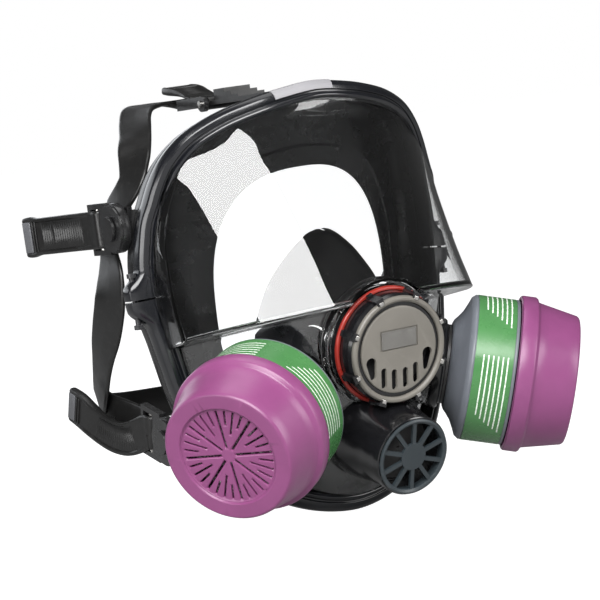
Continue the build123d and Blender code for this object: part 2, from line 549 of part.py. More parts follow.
B_PTS = [(93.4, 141, 86.0), (94.0, 141, 74), (94.9, 140, 66), (97, 138, 56), (98.6, 138.5, 46), (99, 143, 36), (98.8, 150, 26), (98.3, 158.5, 16), (97.3, 166, 6), (95.5, 174, -4), (92.5, 184, -13), (88.5, 194, -19), (79, 208, -23.5), (60, 222, -27), (32, 230, -29), (0, 232.5, -30)]
B_W = [17, 18, 21, 24, 24, 24, 24, 23, 22, 20, 19, 19, 19, 19, 19, 19]
B_D = [(0, 1, 0), (0, 1, 0), (0.05, 1, 0.05), (0.15, 0.95, 0.05), (0.25, 0.95, 0.1), (0.25, 0.95, 0.3), (0.2, 0.95, 0.4), (0.1, 0.9, 0.5), (0, 0.8, 0.6), (0, 0.65, 0.7), (0, 0.5, 0.85), (0, 0.3, 1), (0, 0.1, 1), (0, 0.05, 1), (0, 0, 1), (0, 0, 1)]
side = ribbon(B_PTS, B_W, 2.4, [Vector(*d) for d in B_D])
crown = crown - side - mirror_x(side)
crown = Compound([q for q in crown.solids() if q.volume > 50])
keep("crown_harness", crown)
keep("nape_harness", side + mirror_x(side))
keep("forehead_label", ribbon([(x, yb(x, 150) - 4.4, catmull(OUT, 0.0)[1] + 0.28 - 2.1 * (x / 22.0) ** 2) for x in (-15, -7.5, 0, 7.5, 15)], [7.0] * 5, 0.3, (0, 1, 0)) - upper)

# nose-cup check valves in the cup's flanks, with their seats let into the cup
cup_pl = Plane(origin=(29.5, 42.0, 8.0), x_dir=Vector(0.62, 0.78, 0), z_dir=Vector(-0.78, 0.62, 0))
seat = rev([(5.4, -3.2), (9.6, -3.2), (9.6, 1.4), (5.4, 1.4)], cup_pl) + cup_pl.location * (Box(11.4, 1.4, 1.6)) + cup_pl.location * (Box(1.4, 11.4, 1.6))
cup = cup - cyl(cup_pl, 9.6, -8, 8) - mirror_x(cyl(cup_pl, 9.6, -8, 8))
cup = max(cup.solids(), key=lambda q: q.volume)
keep("nose_cup", cup - skirt)
keep("cup_valve_seats", pair(seat))
both("cup_valve", rev([(0.4, 1.8), (7.6, 1.8), (7.6, 2.4), (0.4, 2.6)], cup_pl))

upper = upper - visor
lower = lower - visor
upper = max(upper.solids(), key=lambda q: q.volume)
lower = max(lower.solids(), key=lambda q: q.volume)
nodes["visor"] = visor
nodes["upper_rim"] = upper
nodes["lower_rim"] = lower
nodes["rim_screws"] = screws
nodes["rim_nuts"] = Compound([s for n_ in nuts for s in n_.solids()])

for name in sorted(nodes):
    sh = nodes[name]
    sh = Pos(-ORIGIN[0], -ORIGIN[1], -ORIGIN[2]) * sh
    export_step(sh, "parts/" + name + ".step")
print(len(nodes), "nodes")
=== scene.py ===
import math

import bmesh
import bpy
from mathutils import Matrix, Vector


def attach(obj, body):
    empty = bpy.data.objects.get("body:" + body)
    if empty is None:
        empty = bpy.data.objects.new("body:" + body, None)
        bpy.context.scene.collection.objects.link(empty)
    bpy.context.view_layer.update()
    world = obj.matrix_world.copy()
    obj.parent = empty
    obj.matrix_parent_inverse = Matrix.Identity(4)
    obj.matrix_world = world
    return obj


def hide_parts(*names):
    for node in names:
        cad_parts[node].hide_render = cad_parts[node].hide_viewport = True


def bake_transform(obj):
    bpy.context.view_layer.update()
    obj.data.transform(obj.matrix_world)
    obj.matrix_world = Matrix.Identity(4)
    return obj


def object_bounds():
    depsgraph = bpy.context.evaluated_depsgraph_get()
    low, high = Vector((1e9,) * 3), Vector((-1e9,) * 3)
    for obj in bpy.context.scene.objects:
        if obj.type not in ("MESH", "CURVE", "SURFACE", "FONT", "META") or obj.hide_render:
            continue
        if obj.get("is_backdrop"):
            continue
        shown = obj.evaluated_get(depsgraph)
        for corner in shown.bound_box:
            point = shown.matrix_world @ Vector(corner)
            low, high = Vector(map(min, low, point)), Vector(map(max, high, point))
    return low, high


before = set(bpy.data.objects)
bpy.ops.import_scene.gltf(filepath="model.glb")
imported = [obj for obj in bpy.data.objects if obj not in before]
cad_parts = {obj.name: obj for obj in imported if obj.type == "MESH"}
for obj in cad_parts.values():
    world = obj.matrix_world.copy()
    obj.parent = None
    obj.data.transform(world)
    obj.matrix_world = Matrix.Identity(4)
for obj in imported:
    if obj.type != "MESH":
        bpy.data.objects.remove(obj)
CAD_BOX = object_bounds()
ORIGIN = (0.0, 96.0, 34.0)
MM = 0.001


def w2(p):
    """Working millimetres (zero at the speech cover) to the row's frame in metres."""
    return Vector(((p[0] - ORIGIN[0]) * MM, (p[1] - ORIGIN[1]) * MM, (p[2] - ORIGIN[2]) * MM))


def lerp(a, b, t):
    return a + (b - a) * t


def smooth(t):
    t = min(max(t, 0.0), 1.0)
    return t * t * (3 - 2 * t)


def spline(rows, f):
    """Catmull-Rom through rows of numbers at index f."""
    n = len(rows) - 1
    f = min(max(f, 0.0), float(n))
    i = min(int(f), n - 1)
    u = f - i
    p1, p2 = rows[i], rows[i + 1]
    p0 = rows[i - 1] if i > 0 else tuple(2 * a - b for a, b in zip(p1, p2))
    p3 = rows[i + 2] if i + 2 <= n else tuple(2 * b - a for a, b in zip(p1, p2))
    return tuple(0.5 * (2 * b + (c - a) * u + (2 * a - 5 * b + 4 * c - d) * u * u + (3 * b - a - 3 * c + d) * u ** 3)
                 for a, b, c, d in zip(p0, p1, p2, p3))


# ------------------------------------------------------------------ materials
def nodes_of(name):
    m = bpy.data.materials.new(name)
    m.use_nodes = True
    nt = m.node_tree
    bsdf = nt.nodes["Principled BSDF"]
    return m, nt, bsdf


def add(nt, kind, **kw):
    n = nt.nodes.new(kind)
    for k, v in kw.items():
        setattr(n, k, v)
    return n


def noise(nt, scale, detail=3.0, rough=0.5, vec=None):
    n = add(nt, "ShaderNodeTexNoise")
    n.inputs["Scale"].default_value = scale
    n.inputs["Detail"].default_value = detail
    n.inputs["Roughness"].default_value = rough
    if vec is None:
        tc = add(nt, "ShaderNodeTexCoord")
        vec = tc.outputs["Object"]
    nt.links.new(vec, n.inputs["Vector"])
    return n.outputs["Fac"]


def ramp(nt, fac, stops):
    r = add(nt, "ShaderNodeValToRGB")
    el = r.color_ramp.elements
    el[0].position, el[0].color = stops[0][0], tuple(stops[0][1]) + (1,)
    el[1].position, el[1].color = stops[-1][0], tuple(stops[-1][1]) + (1,)
    for p, c in stops[1:-1]:
        e = el.new(p)
        e.color = tuple(c) + (1,)
    nt.links.new(fac, r.inputs["Fac"])
    return r.outputs["Color"]


def mapr(nt, fac, a, b, c, d):
    m = add(nt, "ShaderNodeMapRange")
    for k, v in zip(("From Min", "From Max", "To Min", "To Max"), (a, b, c, d)):
        m.inputs[k].default_value = v
    nt.links.new(fac, m.inputs["Value"])
    return m.outputs["Result"]


def math_node(nt, op, a, b=None, clamp=False):
    n = add(nt, "ShaderNodeMath", operation=op, use_clamp=clamp)
    for i, v in enumerate((a, b)):
        if v is None:
            continue
        if isinstance(v, (int, float)):
            n.inputs[i].default_value = v
        else:
            nt.links.new(v, n.inputs[i])
    return n.outputs[0]


def mix_col(nt, fac, a, b):
    n = add(nt, "ShaderNodeMix", data_type="RGBA")
    if isinstance(fac, (int, float)):
        n.inputs[0].default_value = fac
    else:
        nt.links.new(fac, n.inputs[0])
    for idx, v in ((6, a), (7, b)):
        if isinstance(v, tuple):
            n.inputs[idx].default_value = v + (1,) if len(v) == 3 else v
        else:
            nt.links.new(v, n.inputs[idx])
    return n.outputs[2]


def bump(nt, bsdf, height, strength, dist=0.0004, prev=None):
    b = add(nt, "ShaderNodeBump")
    b.inputs["Strength"].default_value = strength
    b.inputs["Distance"].default_value = dist
    nt.links.new(height, b.inputs["Height"])
    if prev is not None:
        nt.links.new(prev, b.inputs["Normal"])
    nt.links.new(b.outputs["Normal"], bsdf.inputs["Normal"])
    return b.outputs["Normal"]


def plastic(name, base, rough, var=0.12, coat=0.0, grain=900.0, grain_s=0.08, wear=0.25, ior=1.5, smudge=0.06):
    """Moulded plastic: cloudy colour, fine moulded grain, smudges in the gloss, edges rubbed a little paler."""
    m, nt, b = nodes_of(name)
    lo = tuple(c * (1 - var) for c in base)
    hi = tuple(min(1.0, c * (1 + var)) for c in base)
    col = ramp(nt, noise(nt, 28, 4, 0.6), [(0.3, lo), (0.7, hi)])
    geo = add(nt, "ShaderNodeNewGeometry")
    edge = mapr(nt, geo.outputs["Pointiness"], 0.52, 0.60, 0.0, wear)
    spots = mapr(nt, noise(nt, 160, 3, 0.6), 0.35, 0.65, 0.0, 1.0)
    fac = math_node(nt, "MULTIPLY", edge, spots, clamp=True)
    pale = tuple(min(1.0, c * 1.5 + 0.05) for c in base)
    col = mix_col(nt, fac, col, pale)
    nt.links.new(col, b.inputs["Base Color"])
    r = mapr(nt, noise(nt, 60, 4, 0.65), 0.3, 0.7, max(rough - smudge, 0.02), rough + smudge)
    nt.links.new(r, b.inputs["Roughness"])
    b.inputs["IOR"].default_value = ior
    if coat:
        b.inputs["Coat Weight"].default_value = coat
        b.inputs["Coat Roughness"].default_value = 0.08
    bump(nt, b, noise(nt, grain, 2, 0.5), grain_s, 0.0003)
    return m


def rubber(name, base, rough, grain=700.0, grain_s=0.12, var=0.2, sheen=0.0, dust=0.0):
    m, nt, b = nodes_of(name)
    lo = tuple(c * (1 - var) for c in base)
    hi = tuple(c * (1 + var) for c in base)
    col = ramp(nt, noise(nt, 35, 5, 0.65), [(0.3, lo), (0.7, hi)])
    if dust:
        d = mapr(nt, noise(nt, 240, 4, 0.7), 0.55, 0.75, 0.0, dust)
        col = mix_col(nt, d, col, (0.16, 0.155, 0.15))
    nt.links.new(col, b.inputs["Base Color"])
    r = mapr(nt, noise(nt, 45, 5, 0.6), 0.3, 0.7, rough - 0.07, rough + 0.08)
    nt.links.new(r, b.inputs["Roughness"])
    b.inputs["IOR"].default_value = 1.5
    if sheen:
        b.inputs["Sheen Weight"].default_value = sheen
    bump(nt, b, noise(nt, grain, 3, 0.6), grain_s, 0.0003)
    return m


M = {}
M["frame"] = plastic("rim_black_gloss", (0.006, 0.0065, 0.0085), 0.22, coat=0.35, grain=500, grain_s=0.04, wear=0.18, smudge=0.07)
M["housing"] = plastic("housing_black_gloss", (0.007, 0.007, 0.008), 0.2, coat=0.3, grain=600, grain_s=0.04, wear=0.15)
M["silicone"] = rubber("skirt_black_silicone", (0.006, 0.006, 0.0065), 0.27, grain=500, grain_s=0.06)
M["cup"] = rubber("nose_cup_silicone", (0.009, 0.0085, 0.0085), 0.33, grain=300, grain_s=0.02)
M["harness"] = rubber("harness_rubber", (0.0085, 0.0084, 0.0083), 0.34, grain=600, grain_s=0.12, dust=0.06)
M["red"] = rubber("red_seal_ring", (0.27, 0.02, 0.013), 0.3, grain=500, grain_s=0.05, var=0.1)
M["guard"] = plastic("guard_blue_grey", (0.024, 0.032, 0.037), 0.38, grain=900, grain_s=0.1, wear=0.3)
M["valve"] = rubber("valve_rubber", (0.03, 0.03, 0.03), 0.4)
M["canister"] = plastic("canister_grey", (0.132, 0.143, 0.163), 0.36, grain=700, grain_s=0.06, wear=0.2)
M["cap"] = plastic("cap_magenta", (0.208, 0.052, 0.152), 0.33, var=0.08, grain=650, grain_s=0.05, wear=0.25, smudge=0.05)
M["cover"] = plastic("speech_cover_grey", (0.148, 0.138, 0.12), 0.42, var=0.1, grain=1100, grain_s=0.18, wear=0.3)
M["badge"] = plastic("badge_grey", (0.12, 0.116, 0.108), 0.4, grain=900, grain_s=0.1, wear=0.35)
M["buckle"] = plastic("buckle_black", (0.012, 0.012, 0.0125), 0.24, coat=0.25, grain=700, grain_s=0.06, wear=0.3)
M["fastener"] = plastic("black_oxide_steel", (0.02, 0.02, 0.022), 0.3, grain=900, grain_s=0.08, wear=0.3)
# lighter grey for the pull-tab plate: a painted highlight standing in for a reflection on black rubber
M["pad"] = rubber("tab_grey_rubber", (0.10, 0.102, 0.11), 0.4, grain=600, grain_s=0.1)
M["tag"] = plastic("blank_tag", (0.26, 0.255, 0.268), 0.5, var=0.06, grain=500, grain_s=0.04, wear=0.0)


def steel_material():
    m, nt, b = nodes_of("bright_steel")
    b.inputs["Metallic"].default_value = 1.0
    col = ramp(nt, noise(nt, 90, 4, 0.6), [(0.3, (0.50, 0.49, 0.47)), (0.7, (0.72, 0.70, 0.67))])
    nt.links.new(col, b.inputs["Base Color"])
    r = mapr(nt, noise(nt, 500, 3, 0.6), 0.3, 0.7, 0.16, 0.32)
    nt.links.new(r, b.inputs["Roughness"])
    bump(nt, b, noise(nt, 1500, 2, 0.5), 0.05, 0.0002)
    return m


def glass_material():
    m, nt, b = nodes_of("clear_polycarbonate")
    col = ramp(nt, noise(nt, 12, 3, 0.5), [(0.3, (0.955, 0.965, 0.97)), (0.7, (0.975, 0.98, 0.98))])
    nt.links.new(col, b.inputs["Base Color"])
    b.inputs["Transmission Weight"].default_value = 1.0
    b.inputs["IOR"].default_value = 1.7
    r = mapr(nt, noise(nt, 40, 4, 0.6), 0.4, 0.75, 0.0, 0.03)
    nt.links.new(r, b.inputs["Roughness"])
    bump(nt, b, noise(nt, 18, 2, 0.5), 0.025, 0.001)
    return m


def media_material():
    m, nt, b = nodes_of("pleated_media")
    tc = add(nt, "ShaderNodeTexCoord")
    v = add(nt, "ShaderNodeTexVoronoi")
    v.inputs["Scale"].default_value = 620
    nt.links.new(tc.outputs["Object"], v.inputs["Vector"])
    col = ramp(nt, v.outputs["Distance"], [(0.25, (0.62, 0.55, 0.58)), (0.6, (0.05, 0.03, 0.04))])
    nt.links.new(col, b.inputs["Base Color"])
    b.inputs["Roughness"].default_value = 0.85
    bump(nt, b, v.outputs["Distance"], 0.5, 0.0005)
    return m


def simple_fabric(name, a, c, scale):
    m, nt, b = nodes_of(name)
    nt.links.new(ramp(nt, noise(nt, scale, 4, 0.7), [(0.3, a), (0.7, c)]), b.inputs["Base Color"])
    b.inputs["Roughness"].default_value = 0.8
    bump(nt, b, noise(nt, scale * 3, 3, 0.6), 0.4, 0.0004)
    return m


M["steel"] = steel_material()
M["glass"] = glass_material()
M["media"] = media_material()
M["sorbent"] = simple_fabric("carbon_granules", (0.01, 0.01, 0.01), (0.06, 0.06, 0.06), 900)
M["membrane"] = simple_fabric("speech_film", (0.012, 0.012, 0.013), (0.03, 0.03, 0.032), 200)

# cartridge axes, for the band's printed stripes
CY, CD = math.radians(58.3), math.radians(15.9)


def cart_axis(sg):
    return Vector((sg * math.sin(CY) * math.cos(CD), -math.cos(CY) * math.cos(CD), -math.sin(CD)))


def cart_matrix(sg):
    z = cart_axis(sg)
    x = Vector((sg * math.cos(CY), math.sin(CY), 0)).normalized()
    y = z.cross(x)
    o = w2((sg * 54.7, 37.8, -18.2))
    return Matrix(((x.x, y.x, z.x, o.x), (x.y, y.y, z.y, o.y), (x.z, y.z, z.z, o.z), (0, 0, 0, 1)))


def label_material(sg):
    """Green band with plain pale stripes: no lettering."""
    m, nt, b = nodes_of("band_green_left" if sg > 0 else "band_green_right")
    tc = add(nt, "ShaderNodeTexCoord")
    mp = add(nt, "ShaderNodeMapping", vector_type="TEXTURE")
    mat = cart_matrix(sg)
    mp.inputs["Location"].default_value = mat.translation
    mp.inputs["Rotation"].default_value = mat.to_euler("XYZ")
    nt.links.new(tc.outputs["Object"], mp.inputs["Vector"])
    sx = add(nt, "ShaderNodeSeparateXYZ")
    nt.links.new(mp.outputs["Vector"], sx.inputs[0])
    ang = math_node(nt, "ARCTAN2", sx.outputs["Y"], sx.outputs["X"])
    z = math_node(nt, "MULTIPLY", sx.outputs["Z"], 1000.0)
    # five thin rows along the band
    row = math_node(nt, "MODULO", math_node(nt, "ADD", z, 0.4), 2.7)
    thin = math_node(nt, "LESS_THAN", math_node(nt, "ABSOLUTE", math_node(nt, "SUBTRACT", row, 1.35)), 0.36)
    rowid = math_node(nt, "FLOOR", math_node(nt, "DIVIDE", math_node(nt, "ADD", z, 0.4), 2.7))
    inner = math_node(nt, "MULTIPLY", math_node(nt, "GREATER_THAN", z, 15.6), math_node(nt, "LESS_THAN", z, 31.2))
    # blocks of stripes round the band, each row ending at its own place
    blk = math_node(nt, "MODULO", math_node(nt, "ADD", math_node(nt, "MULTIPLY", ang, 41.0), 400.0), 64.0)
    end = math_node(nt, "SUBTRACT", 52.0, math_node(nt, "MULTIPLY", math_node(nt, "MODULO", math_node(nt, "MULTIPLY", rowid, 7.3), 4.0), 3.4))
    within = math_node(nt, "MULTIPLY", math_node(nt, "GREATER_THAN", blk, 5.0), math_node(nt, "LESS_THAN", blk, end))
    fac = math_node(nt, "MULTIPLY", math_node(nt, "MULTIPLY", thin, inner), within)
    fac = math_node(nt, "MULTIPLY", fac, mapr(nt, noise(nt, 900, 2, 0.5), 0.35, 0.5, 0.55, 0.95))
    green = ramp(nt, noise(nt, 30, 4, 0.6), [(0.3, (0.05, 0.17, 0.053)), (0.7, (0.068, 0.212, 0.068))])
    nt.links.new(mix_col(nt, fac, green, (0.78, 0.84, 0.76)), b.inputs["Base Color"])
    r = mapr(nt, noise(nt, 70, 4, 0.6), 0.3, 0.7, 0.2, 0.34)
    nt.links.new(r, b.inputs["Roughness"])
    bump(nt, b, noise(nt, 700, 2, 0.5), 0.05, 0.0002)
    return m


M["label_l"], M["label_r"] = label_material(1), label_material(-1)


# ------------------------------------------------------------------ mesh helpers
def mesh_obj(name, verts, faces, mat, body, sharp=40.0, slot=None):
    """Object from working-millimetre vertices."""
    me = bpy.data.meshes.new(name)
    me.from_pydata([tuple(w2(v)) for v in verts], [], faces)
    me.validate()
    bm = bmesh.new()
    bm.from_mesh(me)
    bmesh.ops.remove_doubles(bm, verts=bm.verts, dist=1e-6)
    bmesh.ops.recalc_face_normals(bm, faces=bm.faces)
    bm.to_mesh(me)
    bm.free()
    me.polygons.foreach_set("use_smooth", [True] * len(me.polygons))
    me.set_sharp_from_angle(angle=math.radians(sharp))
    ob = bpy.data.objects.new(name, me)
    bpy.context.scene.collection.objects.link(ob)
    me.materials.append(mat)
    if body:
        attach(ob, body)
    return ob


def loft(rings, path_closed=False, ring_closed=True, caps=True):
    n = len(rings[0])
    verts = [p for r in rings for p in r]
    faces = []
    m = len(rings)
    for i in range(m if path_closed else m - 1):
        a, b = i * n, ((i + 1) % m) * n
        for j in range(n if ring_closed else n - 1):
            k = (j + 1) % n
            faces.append((a + j, a + k, b + k, b + j))
    if caps and not path_closed and ring_closed:
        faces.append(tuple(reversed(range(n))))
        faces.append(tuple(range((m - 1) * n, m * n)))
    return verts, faces


def loft_shell(rings):
    """Open loft of thin closed sections (outer points, then inner ones back), capped by strips."""
    verts, faces = loft(rings, caps=False)
    n, m = len(rings[0]), len(rings)
    for base, flip in ((0, False), ((m - 1) * n, True)):
        for j in range(n // 2 - 1):
            q = (base + j, base + n - 1 - j, base + n - 2 - j, base + j + 1)
            faces.append(tuple(reversed(q)) if flip else q)
    return verts, faces


def apply_mods(ob):
    dg = bpy.context.evaluated_depsgraph_get()
    me = bpy.data.meshes.new_from_object(ob.evaluated_get(dg))
    old = ob.data
    ob.modifiers.clear()
    ob.data = me
    bpy.data.meshes.remove(old)
    me.polygons.foreach_set("use_smooth", [True] * len(me.polygons))


def cutter(pl, r, h0, h1, seg=96, r2=None):
    """Temporary cylinder (or cone) about a local frame's z axis, working mm."""
    r2 = r if r2 is None else r2
    verts, n = [], seg
    for rr, h in ((r, h0), (r2, h1)):
        for i in range(n):
            a = 2 * math.pi * i / n
            verts.append(pl @ Vector((rr * math.cos(a), rr * math.sin(a), h)))
    faces = [tuple((i, (i + 1) % n, n + (i + 1) % n, n + i)) for i in range(n)]
    faces += [tuple(reversed(range(n))), tuple(range(n, 2 * n))]
    me = bpy.data.meshes.new("cut")
    me.from_pydata([tuple(w2(v)) for v in verts], [], faces)
    ob = bpy.data.objects.new("cut", me)
    bpy.context.scene.collection.objects.link(ob)
    return ob


def cut(ob, cutters):
    for c in cutters:
        md = ob.modifiers.new("cut", "BOOLEAN")
        md.operation, md.object, md.solver = "DIFFERENCE", c, "MANIFOLD"
    apply_mods(ob)
    for c in cutters:
        me = c.data
        bpy.data.objects.remove(c)
        bpy.data.meshes.remove(me)


def local(o, z, x=(1, 0, 0)):
    z = Vector(z).normalized()
    x = Vector(x)
    x = (x - z * x.dot(z)).normalized()
    y = z.cross(x)
    return Matrix(((x.x, y.x, z.x, o[0]), (x.y, y.y, z.y, o[1]), (x.z, y.z, z.z, o[2]), (0, 0, 0, 1)))


A12, A19 = math.radians(12.0), math.radians(19.2)
PLATE = local((0, 0, 0), (0, -math.cos(A12), -math.sin(A12)))
GUARD = local((0, 1.6, -58.6), (0, -math.cos(A19), -math.sin(A19)))
SEATS = {sg: local((sg * 54.7, 37.8, -18.2), cart_axis(sg), (sg * math.cos(CY), math.sin(CY), 0)) for sg in (1, -1)}

# ------------------------------------------------------------------ facepiece outline (same numbers as the frame's)
RIM_TOP_Y, RIM_LEAN, RIM_WRAP = 57.0, 0.07, 38.0
LEDGE_Z, LEDGE_SLOPE, LEDGE_YREF = 21.0, 0.148, 65.0
OUT = [(0, 150), (22, 147.8), (39, 144.5), (54, 140.3), (67, 134.3), (76, 127.8), (84, 118.5),
       (89.5, 108), (93.5, 97), (97, 87), (99, 76), (100.5, 63), (100.5, 48), (99, 33), (96, 18),
       (93.5, 4), (91, -9), (87, -24), (81, -39), (73, -53), (62, -66), (48, -77), (33, -85),
       (17, -90), (0, -92)]
HOLE_C, HOLE_W, HOLE_UP, HOLE_DN, HOLE_P = 32.0, 56.0, 71.0, 70.0, 2.6


def yb(x, z):
    return RIM_TOP_Y + (150.0 - z) * RIM_LEAN + RIM_WRAP * (x / 100.0) ** 2


def outline(t):
    rows = [(-OUT[1][0], OUT[1][1])] + OUT + [(-OUT[-2][0], OUT[-2][1])]
    return spline(rows, 1 + min(max(t, 0.0), 1.0) * (len(OUT) - 1))


def rim(s):
    t, sg = abs(s), (1 if s >= 0 else -1)
    x, z = outline(t)
    a, b = outline(max(t - 0.004, 0)), outline(min(t + 0.004, 1))
    dx, dz = b[0] - a[0], b[1] - a[1]
    if t < 0.004 or t > 0.996:
        dx, dz = (1, 0) if t < 0.5 else (-1, 0)
    ln = math.hypot(dx, dz)
    return sg * x, z, sg * (-dz / ln), dx / ln


def share_at(z):
    lo, hi = 0.2, 0.95
    for _ in range(50):
        mid = (lo + hi) / 2
        if outline(mid)[1] > z:
            lo = mid
        else:
            hi = mid
    return (lo + hi) / 2


SJ = share_at(44.0)


def profile_curve(pts, n, closed=True):
    """Rounded, evenly spread points along a polygon with small fillets."""
    res = []
    m = len(pts)
    for i in range(m):
        p0, p1, p2 = pts[i - 1], pts[i], pts[(i + 1) % m]
        r = p1[2] if len(p1) > 2 else 0.5
        a = Vector((p0[0] - p1[0], p0[1] - p1[1]))
        b = Vector((p2[0] - p1[0], p2[1] - p1[1]))
        ra = min(r, a.length * 0.45)
        rb = min(r, b.length * 0.45)
        s, e = Vector(p1[:2]) + a.normalized() * ra, Vector(p1[:2]) + b.normalized() * rb
        for k in range(n + 1):
            t = k / n
            q = s.lerp(Vector(p1[:2]), t).lerp(Vector(p1[:2]).lerp(e, t), t)
            res.append((q.x, q.y))
    return res


# rim profile: n is along the outline's outward normal, y is from the rim's back edge (front is negative)
RIM_P = profile_curve([(0.0, -0.5, 0.8), (0.5, -4.2, 2.0), (0.0, -8.4, 0.9), (-2.2, -10.7, 0.6), (-4.9, -11.3, 0.4), (-5.2, -10.3, 0.3),
                       (-6.4, -10.4, 0.3), (-6.8, -13.4, 0.6), (-8.4, -14.0, 0.7), (-9.9, -12.6, 0.6), (-10.4, -9.6, 0.5), (-10.6, -0.5, 0.5)], 4)


def rim_ring(s, prof, ears=True):
    """Ring of the rim; it swells outwards round each joint between the halves."""
    x, z, nx, nz = rim(s)
    swell = 8.0 * (1 - smooth((abs(z - 44.0) - 5.5) / 11.0)) if ears and abs(z - 44.0) < 17 else 0.0
    res = []
    for n, dy in prof:
        k = swell * smooth((n + 4.2) / 3.6)
        res.append((x + n * nx + k * nx, yb(x, z) + dy, z + n * nz))
    return res


def span(a, b, n):
    return [lerp(a, b, i / (n - 1)) for i in range(n)]


def join_into(ob, others):
    """Merge other meshes into ob as loose parts of one moulding."""
    bm = bmesh.new()
    bm.from_mesh(ob.data)
    for o in others:
        bm.from_mesh(o.data)
    bm.to_mesh(ob.data)
    bm.free()
    for o in others:
        me = o.data
        bpy.data.objects.remove(o)
        bpy.data.meshes.remove(me)


def rounded_block(c, size, r, axes=None, seg=5):
    """Box with rounded edges in working mm; axes is a 3x3 of unit columns."""
    bm = bmesh.new()
    bmesh.ops.create_cube(bm, size=1.0)
    for v in bm.verts:
        v.co = Vector((v.co.x * size[0], v.co.y * size[1], v.co.z * size[2]))
    bmesh.ops.bevel(bm, geom=list(bm.edges), offset=r, segments=seg, profile=0.5, affect="EDGES")
    A = axes or Matrix.Identity(3)
    verts = [tuple(Vector(c) + A @ v.co) for v in bm.verts]
    faces = [tuple(v.index for v in f.verts) for f in bm.faces]
    bm.free()
    return verts, faces


def merge(*parts):
    verts, faces = [], []
    for v, f in parts:
        k = len(verts)
        verts += list(v)
        faces += [tuple(i + k for i in q) for q in f]
    return verts, faces


EAR_Y = yb(100.5, 44.0) - 5.5
up_rings = [rim_ring(s, RIM_P) for s in span(-SJ + 0.0015, SJ - 0.0015, 260)]
lo_rings = [rim_ring(s, RIM_P) for s in span(SJ + 0.0015, 1.0, 90)] + [rim_ring(-s, RIM_P) for s in span(1.0, SJ + 0.0015, 90)[1:]]
up_parts, lo_parts = [loft(up_rings)], [loft(lo_rings)]
upper = mesh_obj("rim_upper_moulding", *merge(*up_parts), M["frame"], "facepiece", 50, "frame")
lower = mesh_obj("rim_lower_moulding", *merge(*lo_parts), M["frame"], "facepiece", 50, "frame")
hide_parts("upper_rim")
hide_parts("lower_rim")

# blank label along the rim's top
LAB_P = profile_curve([(0.62, -6.6, 0.2), (0.5, -8.7, 0.9), (-1.9, -11.15, 0.7), (-4.7, -11.8, 0.3), (-4.7, -11.0, 0.2), (-2.3, -10.3, 0.5), (-0.3, -8.2, 0.5), (0.0, -6.6, 0.2)], 4)
label = mesh_obj("rim_label", *loft([rim_ring(s, LAB_P) for s in span(-0.0505, 0.0205, 44)]), M["tag"], "facepiece", 50, "tag")
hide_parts("forehead_label")


# ------------------------------------------------------------------ visor
def tz(h, y):
    return h + LEDGE_SLOPE * (LEDGE_YREF - y)


def arc_half(h, front, r, xa, ex, ey, n=34):
    res = []
    full = r - math.sqrt(r * r - xa * xa)
    k = min(1.0, (ey - 1.0 - front) / full)
    for i in range(n):
        x = xa * math.sin(math.radians(90) * i / (n - 1)) if i else 0.0
        res.append((x, front + k * (r - math.sqrt(max(r * r - x * x, 0.0)))))
    x1, y1 = res[-1]
    for i in range(1, 6):
        t = i / 5
        res.append((lerp(x1, ex, t) + 0.8 * math.sin(math.pi * t) * 0.3, lerp(y1, ey, t)))
    return res


def offset_in(pts, t):
    res = []
    for i, (x, y) in enumerate(pts):
        a, b = pts[max(i - 1, 0)], pts[min(i + 1, len(pts) - 1)]
        if i == 0:
            res.append((0.0, y + t))
            continue
        dx, dy = b[0] - a[0], b[1] - a[1]
        ln = math.hypot(dx, dy) or 1.0
        res.append((x - t * dy / ln, y + t * dx / ln))
    return res


def section(outer, h_out, h_in, t=2.4):
    inn = offset_in(outer, t)
    o = [(-x, y, tz(h_out, y)) for x, y in reversed(outer[1:])] + [(x, y, tz(h_out, y)) for x, y in outer]
    i_ = [(-x, y, tz(h_in, y)) for x, y in reversed(inn[1:])] + [(x, y, tz(h_in, y)) for x, y in inn]
    return o + list(reversed(i_))


def resample(pts, n):
    d = [0.0]
    for a, b in zip(pts, pts[1:]):
        d.append(d[-1] + math.hypot(b[0] - a[0], b[1] - a[1]))
    out, k = [], 0
    for i in range(n):
        g = d[-1] * i / (n - 1)
        while k < len(pts) - 2 and d[k + 1] < g:
            k += 1
        u = (g - d[k]) / max(d[k + 1] - d[k], 1e-9)
        out.append(spline(pts, k + min(max(u, 0), 1)))
    out[0] = (0.0, out[0][1])
    return out


